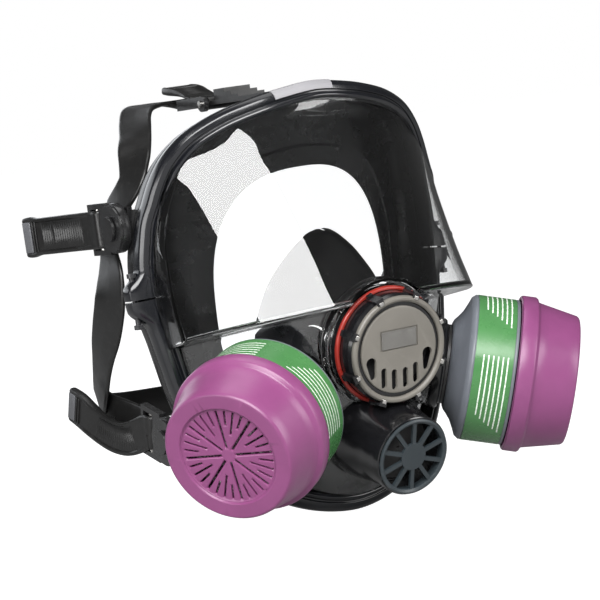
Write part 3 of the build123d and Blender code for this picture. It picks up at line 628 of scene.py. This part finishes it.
WIN = [(142.0, 53.6, 260.0, 34.0, 37.0, 56.5), (134.0, 54.0, 190.0, 54.0, 60.5, 64.0), (120.0, 48.6, 130.0, 72.0, 77.0, 74.5),
       (104.0, 40.8, 118.0, 82.0, 85.5, 81.0), (84.0, 31.2, 110.0, 89.5, 91.5, 86.0), (62.0, 20.4, 105.0, 92.5, 94.0, 91.0),
       (40.0, 9.8, 102.0, 93.8, 93.5, 91.5), (24.0, 2.0, 101.2, 94.2, 92.0, 91.5), (18.5, -0.5, 101.0, 94.4, 91.0, 92.0)]
LOW = [
    (18.5, [(0, 16), (15, 18), (30, 23), (45, 31), (60, 45), (70, 60), (79, 76), (88, 91)]),
    (0.0, [(0, 17), (14, 19), (30, 25), (46, 34), (57, 49), (65, 62), (75, 77), (86.5, 91.5)]),
    (-18.0, [(0, 19), (14, 21), (29, 28), (43, 37), (52, 50.5), (60, 64), (70, 79), (82, 91)]),
    (-38.0, [(0, 25), (13, 27), (26, 34), (38, 42.5), (46, 54), (54, 66), (63, 78), (74, 88)]),
    (-56.0, [(0, 34), (10, 35.5), (21, 41), (31, 48.5), (39, 57), (47, 66.5), (55, 75), (62.5, 82)]),
    (-70.0, [(0, 45), (8, 46), (16, 49.5), (24, 55), (31, 61), (38, 67.5), (43.5, 73), (47, 78)]),
    (-79.0, [(0, 54), (5, 54.5), (11, 56.5), (17, 59.5), (22, 63), (26, 67), (28.5, 71), (29.5, 75)]),
    (-85.0, [(0, 61.5), (3, 61.7), (6, 62.4), (9, 63.6), (11.5, 65.3), (13.5, 67.6), (14.5, 70), (15, 72.5)]),
]
NV = 39
rings = []
for f in span(0, 7.72, 44):
    h, fr, r, xa, ex, ey = spline(WIN, f)
    rings.append(section(arc_half(h, fr, r, xa, ex, ey), h, h))
foot = arc_half(*WIN[-1])
rings.append(section(foot, 19.4, 21.6))
rings.append(section([(x * 0.9985, y + 0.25) for x, y in foot], 18.7, 21.2))
rings.append(section([(x * 0.995, y + 0.9) for x, y in foot], 18.45, 20.9))
top_low = resample(LOW[0][1], NV)
for k in (0.35, 0.7, 0.93):
    rings.append(section([(lerp(a[0], b[0], k), lerp(a[1], b[1], k)) for a, b in zip(foot, top_low)], 18.45, 20.9))
rings.append(section(top_low, 18.2, 20.6))
low_rs = [resample(p, NV) for _, p in LOW]
for f in span(0.04, len(LOW) - 1, 60):
    h = spline([(q[0],) for q in LOW], f)[0]
    flat = spline([tuple(v for pt in q for v in pt) for q in low_rs], f)
    pts = [(flat[2 * i], flat[2 * i + 1]) for i in range(NV)]
    rings.append(section(pts, h, h))
visor = mesh_obj("visor_moulding", *loft_shell(rings), M["glass"], "facepiece", 50, "visor")


def collar(pl, r0, r1, h0, h1, seg=96):
    prof = profile_curve([(r0, h0, 0.4), (r1, h0, 0.4), (r1, h1, 0.7), (r0, h1, 0.5)], 3)
    rs = []
    for i in range(seg):
        a = 2 * math.pi * i / seg
        rs.append([tuple(pl @ Vector((r * math.cos(a), r * math.sin(a), h))) for r, h in prof])
    return loft(rs, path_closed=True)


cut(visor, [cutter(PLATE, 31.9, -60, 30), cutter(PLATE, 35.6, -17.4, 40), cutter(GUARD, 27.9, -60, 3)]
    + [cutter(SEATS[sg], 21.4, -60, 20) for sg in (1, -1)] + [cutter(SEATS[sg], 26.0, -9.2, 20) for sg in (1, -1)])
visor.data.set_sharp_from_angle(angle=math.radians(50))
col_parts = merge(collar(PLATE, 31.95, 35.2, -24, -17.4), collar(SEATS[1], 21.4, 24.4, -14.5, -9.2), collar(SEATS[-1], 21.4, 24.4, -14.5, -9.2))
tmp = mesh_obj("visor_collars", *col_parts, M["glass"], "facepiece", 40)
join_into(visor, [tmp])
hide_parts("visor")


# ------------------------------------------------------------------ face skirt
def hole_pt(s):
    x, z, _, _ = rim(s)
    dx, dz = x, z - HOLE_C
    a = math.atan2(dz, dx)
    hh = HOLE_UP if dz > 0 else HOLE_DN
    c, q = abs(math.cos(a)), abs(math.sin(a))
    r = ((c / HOLE_W) ** HOLE_P + (q / hh) ** HOLE_P) ** (-1.0 / HOLE_P)
    return r * math.cos(a), HOLE_C + r * math.sin(a)


def skirt_ring(s):
    x, z, _, _ = rim(s)
    hx, hz = hole_pt(s)
    dx, dz = hx - x, hz - z
    ln = math.hypot(dx, dz)
    ux, uz = dx / ln, dz / ln
    y0, yh = yb(x, z), yb(hx, hz) + 17.0
    L = ln - 0.5

    def mid(n):
        return lerp(y0 + 17.5, yh, smooth((n - 17) / max(L - 17, 1)))

    prof = [(1.0, y0 + 0.4, 0.3), (0.9, y0 + 3.0, 1.0), (1.6, y0 + 8.0, 2.0), (4.0, y0 + 14.5, 3.0), (10.0, y0 + 17.6, 3.0), (18.0, y0 + 17.8, 3.0),
            (lerp(18, L, 0.5), mid(lerp(18, L, 0.5)), 3.0), (L - 2.0, yh + 0.2, 0.6), (L, yh - 0.3, 0.5), (L - 0.1, yh - 1.7, 0.6),
            (lerp(18, L, 0.62), mid(lerp(18, L, 0.62)) - 2.7, 0.5), (lerp(18, L, 0.57), mid(lerp(18, L, 0.57)) - 4.3, 0.5),
            (17.0, y0 + 13.3, 2.0), (10.2, y0 + 11.0, 2.0), (7.8, y0 + 6.0, 2.0), (7.2, y0 + 0.4, 0.5)]
    return [(x + ux * n, y, z + uz * n) for n, y in profile_curve(prof, 3)]


NS = 220
skirt = mesh_obj("face_skirt_moulding", *loft([skirt_ring(-1 + 2 * i / NS) for i in range(NS)], path_closed=True), M["silicone"], "facepiece", 60, "silicone")
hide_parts("face_skirt")

# ------------------------------------------------------------------ nose cup
CUP = [(66.0, 57.0, 64.0, 3.0), (63.0, 53.0, 65.5, 8.0), (57.0, 47.0, 67.5, 13.5), (48.0, 40.0, 71.0, 20.0), (30.0, 31.0, 78.0, 30.0), (8.0, 28.0, 86.0, 36.0),
       (-14.0, 30.0, 89.0, 38.5), (-34.0, 40.0, 88.0, 36.0), (-48.0, 50.0, 86.0, 29.0)]


def cup_ring(h, front, back, w, t=2.4, n=24):
    pts = []
    for i in range(n):
        a = math.radians(90) * i / (n - 1)
        pts.append((w * math.sin(a) ** 0.9 if i else 0.0, front + (back - front) * (1 - max(math.cos(a), 0.0) ** 1.1)))
    inn = [(x * max(w - t, 0.4) / w, y + t * (1 - i / (n - 1))) for i, (x, y) in enumerate(pts)]
    fo = [(-x, y) for x, y in reversed(pts[1:])] + pts
    fi = [(-x, y) for x, y in reversed(inn[1:])] + inn
    return [(x, y, h + 0.25 * (y - front)) for x, y in fo] + [(x, y, h + 0.25 * (y - front)) for x, y in reversed(fi)]


cup = mesh_obj("nose_cup_moulding", *loft_shell([cup_ring(*spline(CUP, f)) for f in span(0, len(CUP) - 1, 60)]), M["cup"], "facepiece", 60, "silicone")
CUP_PL = {sg: local((sg * 29.5, 42.0, 8.0), (-sg * 0.78, 0.62, 0), (sg * 0.62, 0.78, 0)) for sg in (1, -1)}
cut(cup, [cutter(CUP_PL[sg], 9.6, -8, 8, 48) for sg in (1, -1)])
cup.data.set_sharp_from_angle(angle=math.radians(45))
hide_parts("nose_cup")

# ------------------------------------------------------------------ CAD nodes' materials
NODE_MAT = {
    "rim_screws": "fastener", "rim_nuts": "fastener", "speech_housing": "housing", "speech_gasket": "red", "speech_clips": "housing",
    "speech_retainer": "cover", "speech_cover": "cover", "speech_badge": "badge", "speech_membrane": "membrane", "speech_seat_ring": "housing",
    "exhalation_housing": "housing", "exhalation_valve": "valve", "exhalation_guard": "guard", "cup_valve_seats": "housing",
    "temple_tabs": "silicone", "chin_tabs": "silicone", "buckle_studs": "buckle", "top_link": "harness", "top_pin": "steel", "top_buckle": "buckle",
    "top_roller": "steel", "top_strap": "harness", "crown_harness": "harness", "nape_harness": "harness", "forehead_label": "tag"}
for sd in ("left_", "right_"):
    NODE_MAT.update({sd + "inlet_port": "housing", sd + "inhalation_valve": "valve", sd + "port_gasket": "valve", sd + "cartridge_body": "canister",
                     sd + "cartridge_label": "label_l" if sd == "left_" else "label_r", sd + "sorbent_bed": "sorbent", sd + "filter_media": "media",
                     sd + "filter_cap": "cap", sd + "temple_buckle": "buckle", sd + "temple_roller": "steel", sd + "temple_strap": "harness",
                     sd + "chin_buckle": "buckle", sd + "chin_roller": "steel", sd + "chin_strap": "harness", sd + "cup_valve": "valve"})
for n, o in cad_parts.items():
    ob = o if hasattr(o, "material_slots") else bpy.data.objects.get(n)
    if n in NODE_MAT:
        for sl in ob.material_slots:
            sl.material = M[NODE_MAT[n]]


# ------------------------------------------------------------------ straps
def band(pts, widths, thick, dirs, lip=0.0, ribs=None, step=1.2, mirror=False, ends=1.6):
    """Moulded rubber band along a smooth curve: rounded section, optional raised edges and cross ribs."""
    n0 = len(pts)
    widths = widths if isinstance(widths, list) else [widths] * n0
    thick = thick if isinstance(thick, list) else [thick] * n0
    dirs = dirs if isinstance(dirs, list) else [dirs] * n0
    lips = lip if isinstance(lip, list) else [lip] * n0
    rows = [tuple(p) + (w, t) + tuple(d) + (lp,) for p, w, t, d, lp in zip(pts, widths, thick, dirs, lips)]
    fs = []
    for k in range(n0 - 1):
        seg = (Vector(pts[k + 1]) - Vector(pts[k])).length
        m = max(int(round(seg / step)), 2)
        fs += [k + i / m for i in range(m)]
    fs.append(float(n0 - 1))
    rings = []
    last = len(fs) - 1
    dist = [0.0]
    for a, b in zip(fs, fs[1:]):
        dist.append(dist[-1] + (Vector(spline(rows, b)[:3]) - Vector(spline(rows, a)[:3])).length)
    for i, f in enumerate(fs):
        r = spline(rows, f)
        a, b = spline(rows, max(f - 0.05, 0)), spline(rows, min(f + 0.05, n0 - 1))
        t = (Vector(b[:3]) - Vector(a[:3])).normalized()
        wd = Vector(r[5:8])
        wd = (wd - t * wd.dot(t)).normalized()
        nn = t.cross(wd)
        near = min(dist[i], dist[-1] - dist[i])
        k = 1.0
        if ends and near < ends:
            k = math.sqrt(max(1 - (1 - near / ends) ** 2, 0.06))
        hw, ht = r[3] / 2 - (1 - k) * ends, r[4] / 2 * (0.35 + 0.65 * k)
        lp = r[8] * k
        e = min(ht * 0.9, 1.2)
        dip = 0.0
        if ribs and ribs[0] <= f <= ribs[1]:
            dip = ribs[2] if i % 2 else 0.0
        sec = []
        for (u, v) in ((-hw + e, ht + lp), (-hw + 1.9, ht + lp), (-hw + 2.7, ht), (-hw + 3.2, ht + dip), (-1.0, ht + dip), (0, ht + dip), (1.0, ht + dip), (hw - 3.2, ht + dip),
                       (hw - 2.7, ht), (hw - 1.9, ht + lp), (hw - e, ht + lp), (hw - 0.3 * e, ht + lp - 0.3 * e), (hw, ht - e), (hw, -ht + e), (hw - 0.3 * e, -ht + 0.3 * e),
                       (hw - e, -ht), (0, -ht), (-hw + e, -ht), (-hw + 0.3 * e, -ht + 0.3 * e), (-hw, -ht + e), (-hw, ht - e), (-hw + 0.3 * e, ht + lp - 0.3 * e)):
            q = Vector(r[:3]) + wd * u + nn * v
            sec.append((-q.x if mirror else q.x, q.y, q.z))
        rings.append(sec)
    return loft(rings)


def both_names(stem):
    return (("left_", False), ("right_", True)) if stem else ()


def hw_frame(o, rise):
    a = math.radians(rise)
    return lambda u, v, w: (o[0] + w, o[1] + u * math.cos(a) - v * math.sin(a), o[2] + u * math.sin(a) + v * math.cos(a))


TEMPLE = hw_frame((98.5, 113.0, 85.0), 0.0)
CHIN = hw_frame((85.5, 114.0, -38.0), 14.7)
LOOP = [(19.0, -0.1), (17.6, 0.3), (16.5, 1.3), (16.2, 2.7), (16.5, 4.1), (17.6, 5.1), (19.0, 5.5)]


def buckle_straps(stem, pf, tail, tw, tt, lead, lw, wdir, blend_u):
    for pre, mir in (("left_", False), ("right_", True)):
        pts = [(27.0, -0.4), (22.0, -0.2)] + LOOP + tail
        n = len(pts)
        head = n - len(tail)
        v, f = band([pf(q[0], q[2] if len(q) > 2 else 0, q[1]) for q in pts], [tw[0]] * head + tw[1], [2.2] * head + tt, wdir,
                    lip=[0.0] * head + [0.0, 0.5] + [0.9] * (len(tail) - 5) + [0.9, 0.5, 0.2], ribs=(head + 1.2, n - 3.6, 0.45), mirror=mir, step=0.9)
        # end ridges on the pull tab; the raised grey plate below is a painted highlight
        parts = [(v, f)]
        e, e2 = (Vector(pf(q[0], q[2] if len(q) > 2 else 0, q[1])) for q in (tail[-1], tail[-2]))
        t = (e - e2).normalized()
        wd = Vector(wdir)
        wd = (wd - t * wd.dot(t)).normalized()
        nn = t.cross(wd).normalized()
        for off in (-11.5, -9.3):
            c = e + t * off + nn * (tt[-1] / 2 + 0.2)
            A = Matrix(((t.x, wd.x, nn.x), (t.y, wd.y, nn.y), (t.z, wd.z, nn.z)))
            bv, bf = rounded_block(c, (1.1, tw[1][-1] - 5.0, 1.6), 0.45, A, 3)
            parts.append(([(-p[0] if mir else p[0], p[1], p[2]) for p in bv], bf))
        ob = mesh_obj(pre + stem + "_strap_tail", *merge(*parts), M["harness"], pre + stem + "_buckle", 45, "harness")
        A = Matrix(((t.x, wd.x, nn.x), (t.y, wd.y, nn.y), (t.z, wd.z, nn.z)))
        # raised grey plate on the pull tab: a painted highlight, lighter grey rubber standing in for a reflection on
        # the black strap
        bv, bf = rounded_block(e + t * -4.2 + nn * (tt[-1] / 2 + 0.15), (6.4, tw[1][-1] - 4.6, 1.2), 0.55, A, 4)
        mesh_obj(pre + stem + "_tab_pad", [(-p[0] if mir else p[0], p[1], p[2]) for p in bv], bf, M["pad"], pre + stem + "_buckle", 45, "harness")
        v, f = band([pf(u, 0, w) for u, w in lead], lw, 2.2, wdir, mirror=mir, step=1.4, ends=0.8)
        ld = mesh_obj(pre + stem + "_strap_lead", v, f, M["harness"], None, 45, "harness")
        p0, p1 = pf(blend_u[0], 0, lead[-1][1]), pf(blend_u[1], 0, lead[-1][1])
        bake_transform(ld)
        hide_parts(pre + stem + "_strap")


buckle_straps("temple", TEMPLE, [(22, 5.9), (28, 7.4), (40, 11.0), (52, 14.8), (60, 17.4), (66, 19.2), (72, 21.0), (77, 22.6)],
              (21.5, [21.5, 21.5, 21.5, 21.5, 21.5, 21.5, 23.5, 22.5]), [2.2, 2.2, 2.2, 2.4, 2.8, 4.2, 4.6, 4.4],
              [(22.0, -0.3), (26.0, -1.0), (31.0, -2.4), (35.0, -3.4)], [21.5, 22.0, 22.5, 23.0], (0, 0, 1), (26.0, 34.0))
CW = (0, -math.sin(math.radians(14.7)), math.cos(math.radians(14.7)))
buckle_straps("chin", CHIN, [(22, 5.9, -1.0), (30, 7.4, -5.5), (38, 9.4, -8.8), (48, 11.8, -9.6), (58, 14.0, -8.0), (68, 16.0, -4.5), (78, 17.4, -1.5), (89, 18.6, 0.0)],
              (20.0, [20.0, 20.0, 20.0, 20.0, 20.0, 20.5, 21.5, 21.0]), [2.2, 2.2, 2.2, 2.4, 2.8, 4.2, 4.6, 4.4],
              [(24.0, -0.3), (38.0, 0.0), (50.0, 1.6), (62.0, 3.8), (71.0, 4.6), (77.0, 3.6)], [20.0, 20.0, 20.0, 20.0, 22.0, 24.0], CW, (60.0, 73.0))

# top strap and its lead into the crown
top_pts = [(186.0, 146.6), (180.0, 146.2), (176.5, 146.2), (175.1, 146.6), (174.0, 147.6), (173.7, 149.0), (174.0, 150.4), (175.1, 151.4),
           (176.5, 151.8), (180.0, 152.6), (186.0, 154.4), (193.0, 156.2), (200.0, 157.4), (208.0, 158.6)]
v, f = band([(0, y, z) for y, z in top_pts], [20.0] * 11 + [21.0, 22.0, 21.5], [2.2] * 10 + [2.6, 3.8, 4.4, 4.2], (-1, 0, 0),
            lip=[0.0] * 10 + [0.4, 0.5, 0.4, 0.2], ribs=(9.2, 11.2, 0.45), step=0.9)
parts = [(v, f)]
for y, z in ((196.0, 159.0), (198.4, 159.4)):
    parts.append(rounded_block((0, y, z), (17.0, 1.1, 1.4), 0.4, None, 3))
top = mesh_obj("top_strap_tail", *merge(*parts), M["harness"], "top_buckle", 45, "harness")
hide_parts("top_strap")
v, f = band([(0, 182.0, 146.3), (0, 190.0, 147.0), (0, 197.0, 148.4), (0, 204.0, 149.9)], [20.0, 20.0, 21.0, 23.0], 2.2, (-1, 0, 0), ends=0.8)
ld = mesh_obj("top_strap_lead", v, f, M["harness"], None, 45, "harness")
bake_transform(ld)

# one-piece rubber head harness: crown, arms, side straps and nape
A_PTS = [(0, 209, 151.0), (18, 208, 151.0), (32, 199, 149.6), (45, 180, 144.0), (58, 157, 136.0), (69, 139, 128.0), (76, 128, 119.5), (81, 124, 111.0),
         (85.5, 127, 103.0), (90, 134.5, 95.0), (93.2, 140, 88.0)]
A_W = [20, 20, 20, 20, 20, 20, 20, 20, 19, 18, 17.5]
A_D = [(0, 1, 0), (0, 1, 0.05), (0.5, 0.8, 0.1), (0.7, 0.6, -0.1), (0.75, 0.5, -0.2), (0.5, 0.8, 0.1), (0.3, 0.95, 0.2), (0.2, 1, 0.3), (0.2, 1, 0.3), (0.1, 1, 0.2), (0, 1, 0)]
B_PTS = [(94.0, 141, 74), (94.9, 140, 66), (97, 138, 56), (98.6, 138.5, 46), (99, 143, 36), (98.8, 150, 26), (98.3, 158.5, 16), (97.3, 166, 6), (95.5, 174, -4),
         (92.5, 184, -13), (88.5, 194, -19), (79, 208, -23.5), (60, 222, -27), (32, 230, -29), (0, 232.5, -30)]
B_W = [18, 21, 24, 24, 24, 24, 23, 22, 20, 19, 19, 19, 19, 19, 19]
B_D = [(0, 1, 0), (0.05, 1, 0.05), (0.15, 0.95, 0.05), (0.25, 0.95, 0.1), (0.25, 0.95, 0.3), (0.2, 0.95, 0.4), (0.1, 0.9, 0.5), (0, 0.8, 0.6), (0, 0.65, 0.7),
       (0, 0.5, 0.85), (0, 0.3, 1), (0, 0.1, 1), (0, 0.05, 1), (0, 0, 1), (0, 0, 1)]
SIDE_P, SIDE_W, SIDE_D = A_PTS + B_PTS, A_W + B_W, A_D + B_D
full_p = SIDE_P + [(-p[0], p[1], p[2]) for p in reversed(SIDE_P[:-1])]
full_w = SIDE_W + list(reversed(SIDE_W[:-1]))
full_d = SIDE_D + [(d[0], -d[1], -d[2]) for d in reversed(SIDE_D[:-1])]


def harness_rings():
    """The closed loop: each half swept from the crown to the nape, the other half its mirror."""
    a = band(SIDE_P, SIDE_W, 2.5, SIDE_D, step=1.5, ends=0.0)
    b = band(SIDE_P, SIDE_W, 2.5, SIDE_D, step=1.5, ends=0.0, mirror=True)
    return a, b


ha, hb = harness_rings()
front_web = band([(0, 196.0, 148.2), (0, 202.0, 149.6), (0, 209.0, 150.9), (0, 216.0, 151.2)], [20.0, 23.0, 27.0, 30.0], 2.4, (-1, 0, 0), ends=0.8)
harness = mesh_obj("head_harness", *merge(ha, hb, front_web), M["harness"], "facepiece", 45, "harness")
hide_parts("crown_harness", "nape_harness")


# speech cover: slotted disc in a dark seat, with a recess for the badge
def prism(pl, pts, h0, h1):
    n = len(pts)
    verts = [pl @ Vector((x, y, h)) for h in (h0, h1) for x, y in pts]
    faces = [(i, (i + 1) % n, n + (i + 1) % n, n + i) for i in range(n)] + [tuple(reversed(range(n))), tuple(range(n, 2 * n))]
    me = bpy.data.meshes.new("cut")
    me.from_pydata([tuple(w2(v)) for v in verts], [], faces)
    ob = bpy.data.objects.new("cut", me)
    bpy.context.scene.collection.objects.link(ob)
    return ob


def hull(pts):
    pts = sorted(pts)

    def half(seq):
        out = []
        for q in seq:
            while len(out) > 1 and (out[-1][0] - out[-2][0]) * (q[1] - out[-2][1]) - (out[-1][1] - out[-2][1]) * (q[0] - out[-2][0]) <= 1e-9:
                out.pop()
            out.append(q)
        return out[:-1]

    return half(pts) + half(list(reversed(pts)))


def two_rounds(c0, r0, c1, r1, n=28):
    pts = []
    for (cx, cy), r in ((c0, r0), (c1, r1)):
        pts += [(cx + r * math.cos(2 * math.pi * k / n), cy + r * math.sin(2 * math.pi * k / n)) for k in range(n)]
    return hull(pts)


def turned(rows, seg=144):
    rs = [[tuple(PLATE @ Vector((r * math.cos(2 * math.pi * k / seg), r * math.sin(2 * math.pi * k / seg), h))) for k in range(seg)] for r, h in rows]
    return loft(rs)


def turned_ring(prof, seg=144):
    rs = []
    for k in range(seg):
        a = 2 * math.pi * k / seg
        rs.append([tuple(PLATE @ Vector((r * math.cos(a), r * math.sin(a), h))) for r, h in prof])
    return loft(rs, path_closed=True)


cov = mesh_obj("speech_cover_disc", *turned([(24.1, -0.8), (24.1, 0.35), (24.0, 0.62), (23.75, 0.82), (23.4, 0.9)]), M["cover"], "facepiece", 30, "speech_cover")
holes = [two_rounds((cx, cy - 4.0), 1.75, (cx, cy + 4.0), 1.75) for cx, cy in ((-3.6, -16.2), (3.6, -16.2), (-10.3, -14.5), (10.3, -14.5))]
holes += [two_rounds((sg * 18.2, -4.8), 3.2, (sg * 17.2, -12.4), 1.9) for sg in (1, -1)]
cut(cov, [prism(PLATE, h, -4.0, 4.0) for h in holes] + [prism(PLATE, hull([(x, y) for x in (-12.1, 12.1) for y in (0.6, 11.9)]), 0.3, 4.0)])
cov.data.set_sharp_from_angle(angle=math.radians(30))
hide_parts("speech_cover")
mesh_obj("speech_cover_seat", *turned_ring(profile_curve([(23.6, -1.0, 0.1), (26.3, -1.0, 0.1), (26.3, -0.5, 0.15), (23.6, -0.5, 0.1)], 2)), M["housing"], "facepiece", 40, "housing")
gk = mesh_obj("speech_gasket_ring", *turned_ring(profile_curve([(30.8, -13.6, 0.2), (32.3, -13.6, 0.8), (33.0, -12.2, 1.0), (32.3, -10.8, 0.8), (30.8, -10.8, 0.2)], 4)), M["red"], "facepiece", 40, "red_seal")
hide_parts("speech_gasket")

# small bright catch on each clip lug
nubs = []
for k in range(8):
    a = math.radians(22.5 + 45 * k)
    rd = (PLATE.to_3x3() @ Vector((math.cos(a), math.sin(a), 0))).normalized()
    tg = (PLATE.to_3x3() @ Vector((-math.sin(a), math.cos(a), 0))).normalized()
    nz_ = (PLATE.to_3x3() @ Vector((0, 0, 1))).normalized()
    A = Matrix(((rd.x, tg.x, nz_.x), (rd.y, tg.y, nz_.y), (rd.z, tg.z, nz_.z)))
    nubs.append(rounded_block(PLATE @ Vector((29.4 * math.cos(a), 29.4 * math.sin(a), 1.95)), (2.2, 2.6, 0.8), 0.3, A, 4))
mesh_obj("clip_catches", *merge(*nubs), M["steel"], "facepiece", 45, "steel")


# ------------------------------------------------------------------ small radii on the moulded CAD parts
def soften(node, width=0.45, seg=2, angle=38):
    ob = bpy.data.objects.get(node) if not hasattr(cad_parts.get(node), "modifiers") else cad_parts[node]
    w = ob.modifiers.new("weld", "WELD")
    w.merge_threshold = 1e-6
    bv = ob.modifiers.new("radius", "BEVEL")
    bv.width, bv.segments, bv.limit_method, bv.angle_limit = width * MM, seg, "ANGLE", math.radians(angle)
    bv.harden_normals = False
    bv.use_clamp_overlap = True


# ------------------------------------------------------------------ stage, light and camera
lo, hi = CAD_BOX
floor_z = lo.z - 0.002


def stage_emission(nt, cam_v, other_v):
    """White to the eye and through the clear lens, dimmer as a light."""
    lp = add(nt, "ShaderNodeLightPath")
    first = math_node(nt, "LESS_THAN", math_node(nt, "ADD", lp.outputs["Diffuse Depth"], lp.outputs["Glossy Depth"]), 0.5)
    through = math_node(nt, "MULTIPLY", lp.outputs["Is Transmission Ray"], first)
    see = math_node(nt, "MAXIMUM", lp.outputs["Is Camera Ray"], through)
    return math_node(nt, "ADD", mapr(nt, see, 0.0, 1.0, other_v, cam_v), math_node(nt, "MULTIPLY", through, 0.16))


m, nt, b = nodes_of("pale_floor")
nt.links.new(ramp(nt, noise(nt, 1.5, 2, 0.5), [(0.3, (0.30, 0.30, 0.30)), (0.7, (0.31, 0.31, 0.31))]), b.inputs["Base Color"])
b.inputs["Roughness"].default_value = 0.8
b.inputs["Specular IOR Level"].default_value = 0.1
b.inputs["Emission Color"].default_value = (1, 1, 1, 1)
nt.links.new(stage_emission(nt, 1.0, 0.10), b.inputs["Emission Strength"])
me = bpy.data.meshes.new("floor")
R = 30.0
me.from_pydata([(-R, -R, floor_z), (R, -R, floor_z), (R, R, floor_z), (-R, R, floor_z)], [], [(0, 1, 2, 3)])
floor = bpy.data.objects.new("floor", me)
bpy.context.scene.collection.objects.link(floor)
me.materials.append(m)
floor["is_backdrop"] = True

world = bpy.data.worlds.new("studio")
bpy.context.scene.world = world
world.use_nodes = True
wn = world.node_tree
bg = wn.nodes["Background"]
bg.inputs["Color"].default_value = (1, 1, 1, 1)
wn.links.new(stage_emission(wn, 1.0, 0.07), bg.inputs["Strength"])


def area(name, loc, target, size, power, size_y=None, col=(1, 1, 1), xdir=None, seen=True):
    d = bpy.data.lights.new(name, "AREA")
    d.shape = "RECTANGLE"
    d.size, d.size_y = size, size_y or size
    d.energy = power
    d.color = col
    o = bpy.data.objects.new(name, d)
    z = (Vector(loc) - Vector(target)).normalized()
    x = Vector(xdir) if xdir else Vector((0, 0, 1)).cross(z)
    x = (x - z * x.dot(z)).normalized()
    y = z.cross(x)
    o.matrix_world = Matrix(((x.x, y.x, z.x, loc[0]), (x.y, y.y, z.y, loc[1]), (x.z, y.z, z.z, loc[2]), (0, 0, 0, 1)))
    bpy.context.scene.collection.objects.link(o)
    o.visible_camera = False
    o.visible_transmission = False
    return o


for n, wdt in (("speech_retainer", 0.35), ("speech_clips", 0.3), ("speech_badge", 0.25), ("exhalation_guard", 0.35), ("exhalation_housing", 0.4), ("temple_tabs", 0.8),
               ("chin_tabs", 0.8), ("buckle_studs", 0.6), ("top_link", 0.6), ("top_buckle", 0.6)):
    soften(n, wdt)
for sd in ("left_", "right_"):
    for n, wdt in (("filter_cap", 0.8), ("cartridge_body", 0.6), ("temple_buckle", 0.7), ("chin_buckle", 0.7), ("inlet_port", 0.4)):
        soften(sd + n, wdt)

area("key_box", (-0.55, -0.85, 0.68), (0, 0, 0.02), 1.0, 28, 0.75, xdir=(0.95, -0.31, 0.25))
area("right_box", (0.95, -1.3, 0.3), (0, 0, -0.02), 0.6, 11, 0.9)
area("left_low", (-1.1, -0.3, -0.05), (0, 0, -0.03), 0.5, 5, 0.5)
area("back_panel", (-0.3, 1.35, 0.42), (0, 0, 0.05), 2.0, 7.0, 0.55, col=(0.93, 0.96, 1.0))
area("overhead", (0.1, 0.1, 1.3), (0, 0, 0), 0.8, 4, 0.8)

cam_d = bpy.data.cameras.new("camera")
cam_d.lens, cam_d.sensor_width = 149.25, 36.0
cam = bpy.data.objects.new("camera", cam_d)
bpy.context.scene.collection.objects.link(cam)
rt, up, bk = Vector((0.8499, -0.5069, -0.1440)), Vector((0.1612, -0.0100, 0.9869)), Vector((-0.5017, -0.8620, 0.0732))
rt.normalize()
up = (up - rt * up.dot(rt)).normalized()
bk = rt.cross(up)
c = w2((-714.5, -1130.7, 132.2))
cam.matrix_world = Matrix(((rt.x, up.x, bk.x, c.x), (rt.y, up.y, bk.y, c.y), (rt.z, up.z, bk.z, c.z), (0, 0, 0, 1)))
bpy.context.scene.camera = cam
bpy.context.scene.view_settings.view_transform = "Standard"

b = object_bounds()
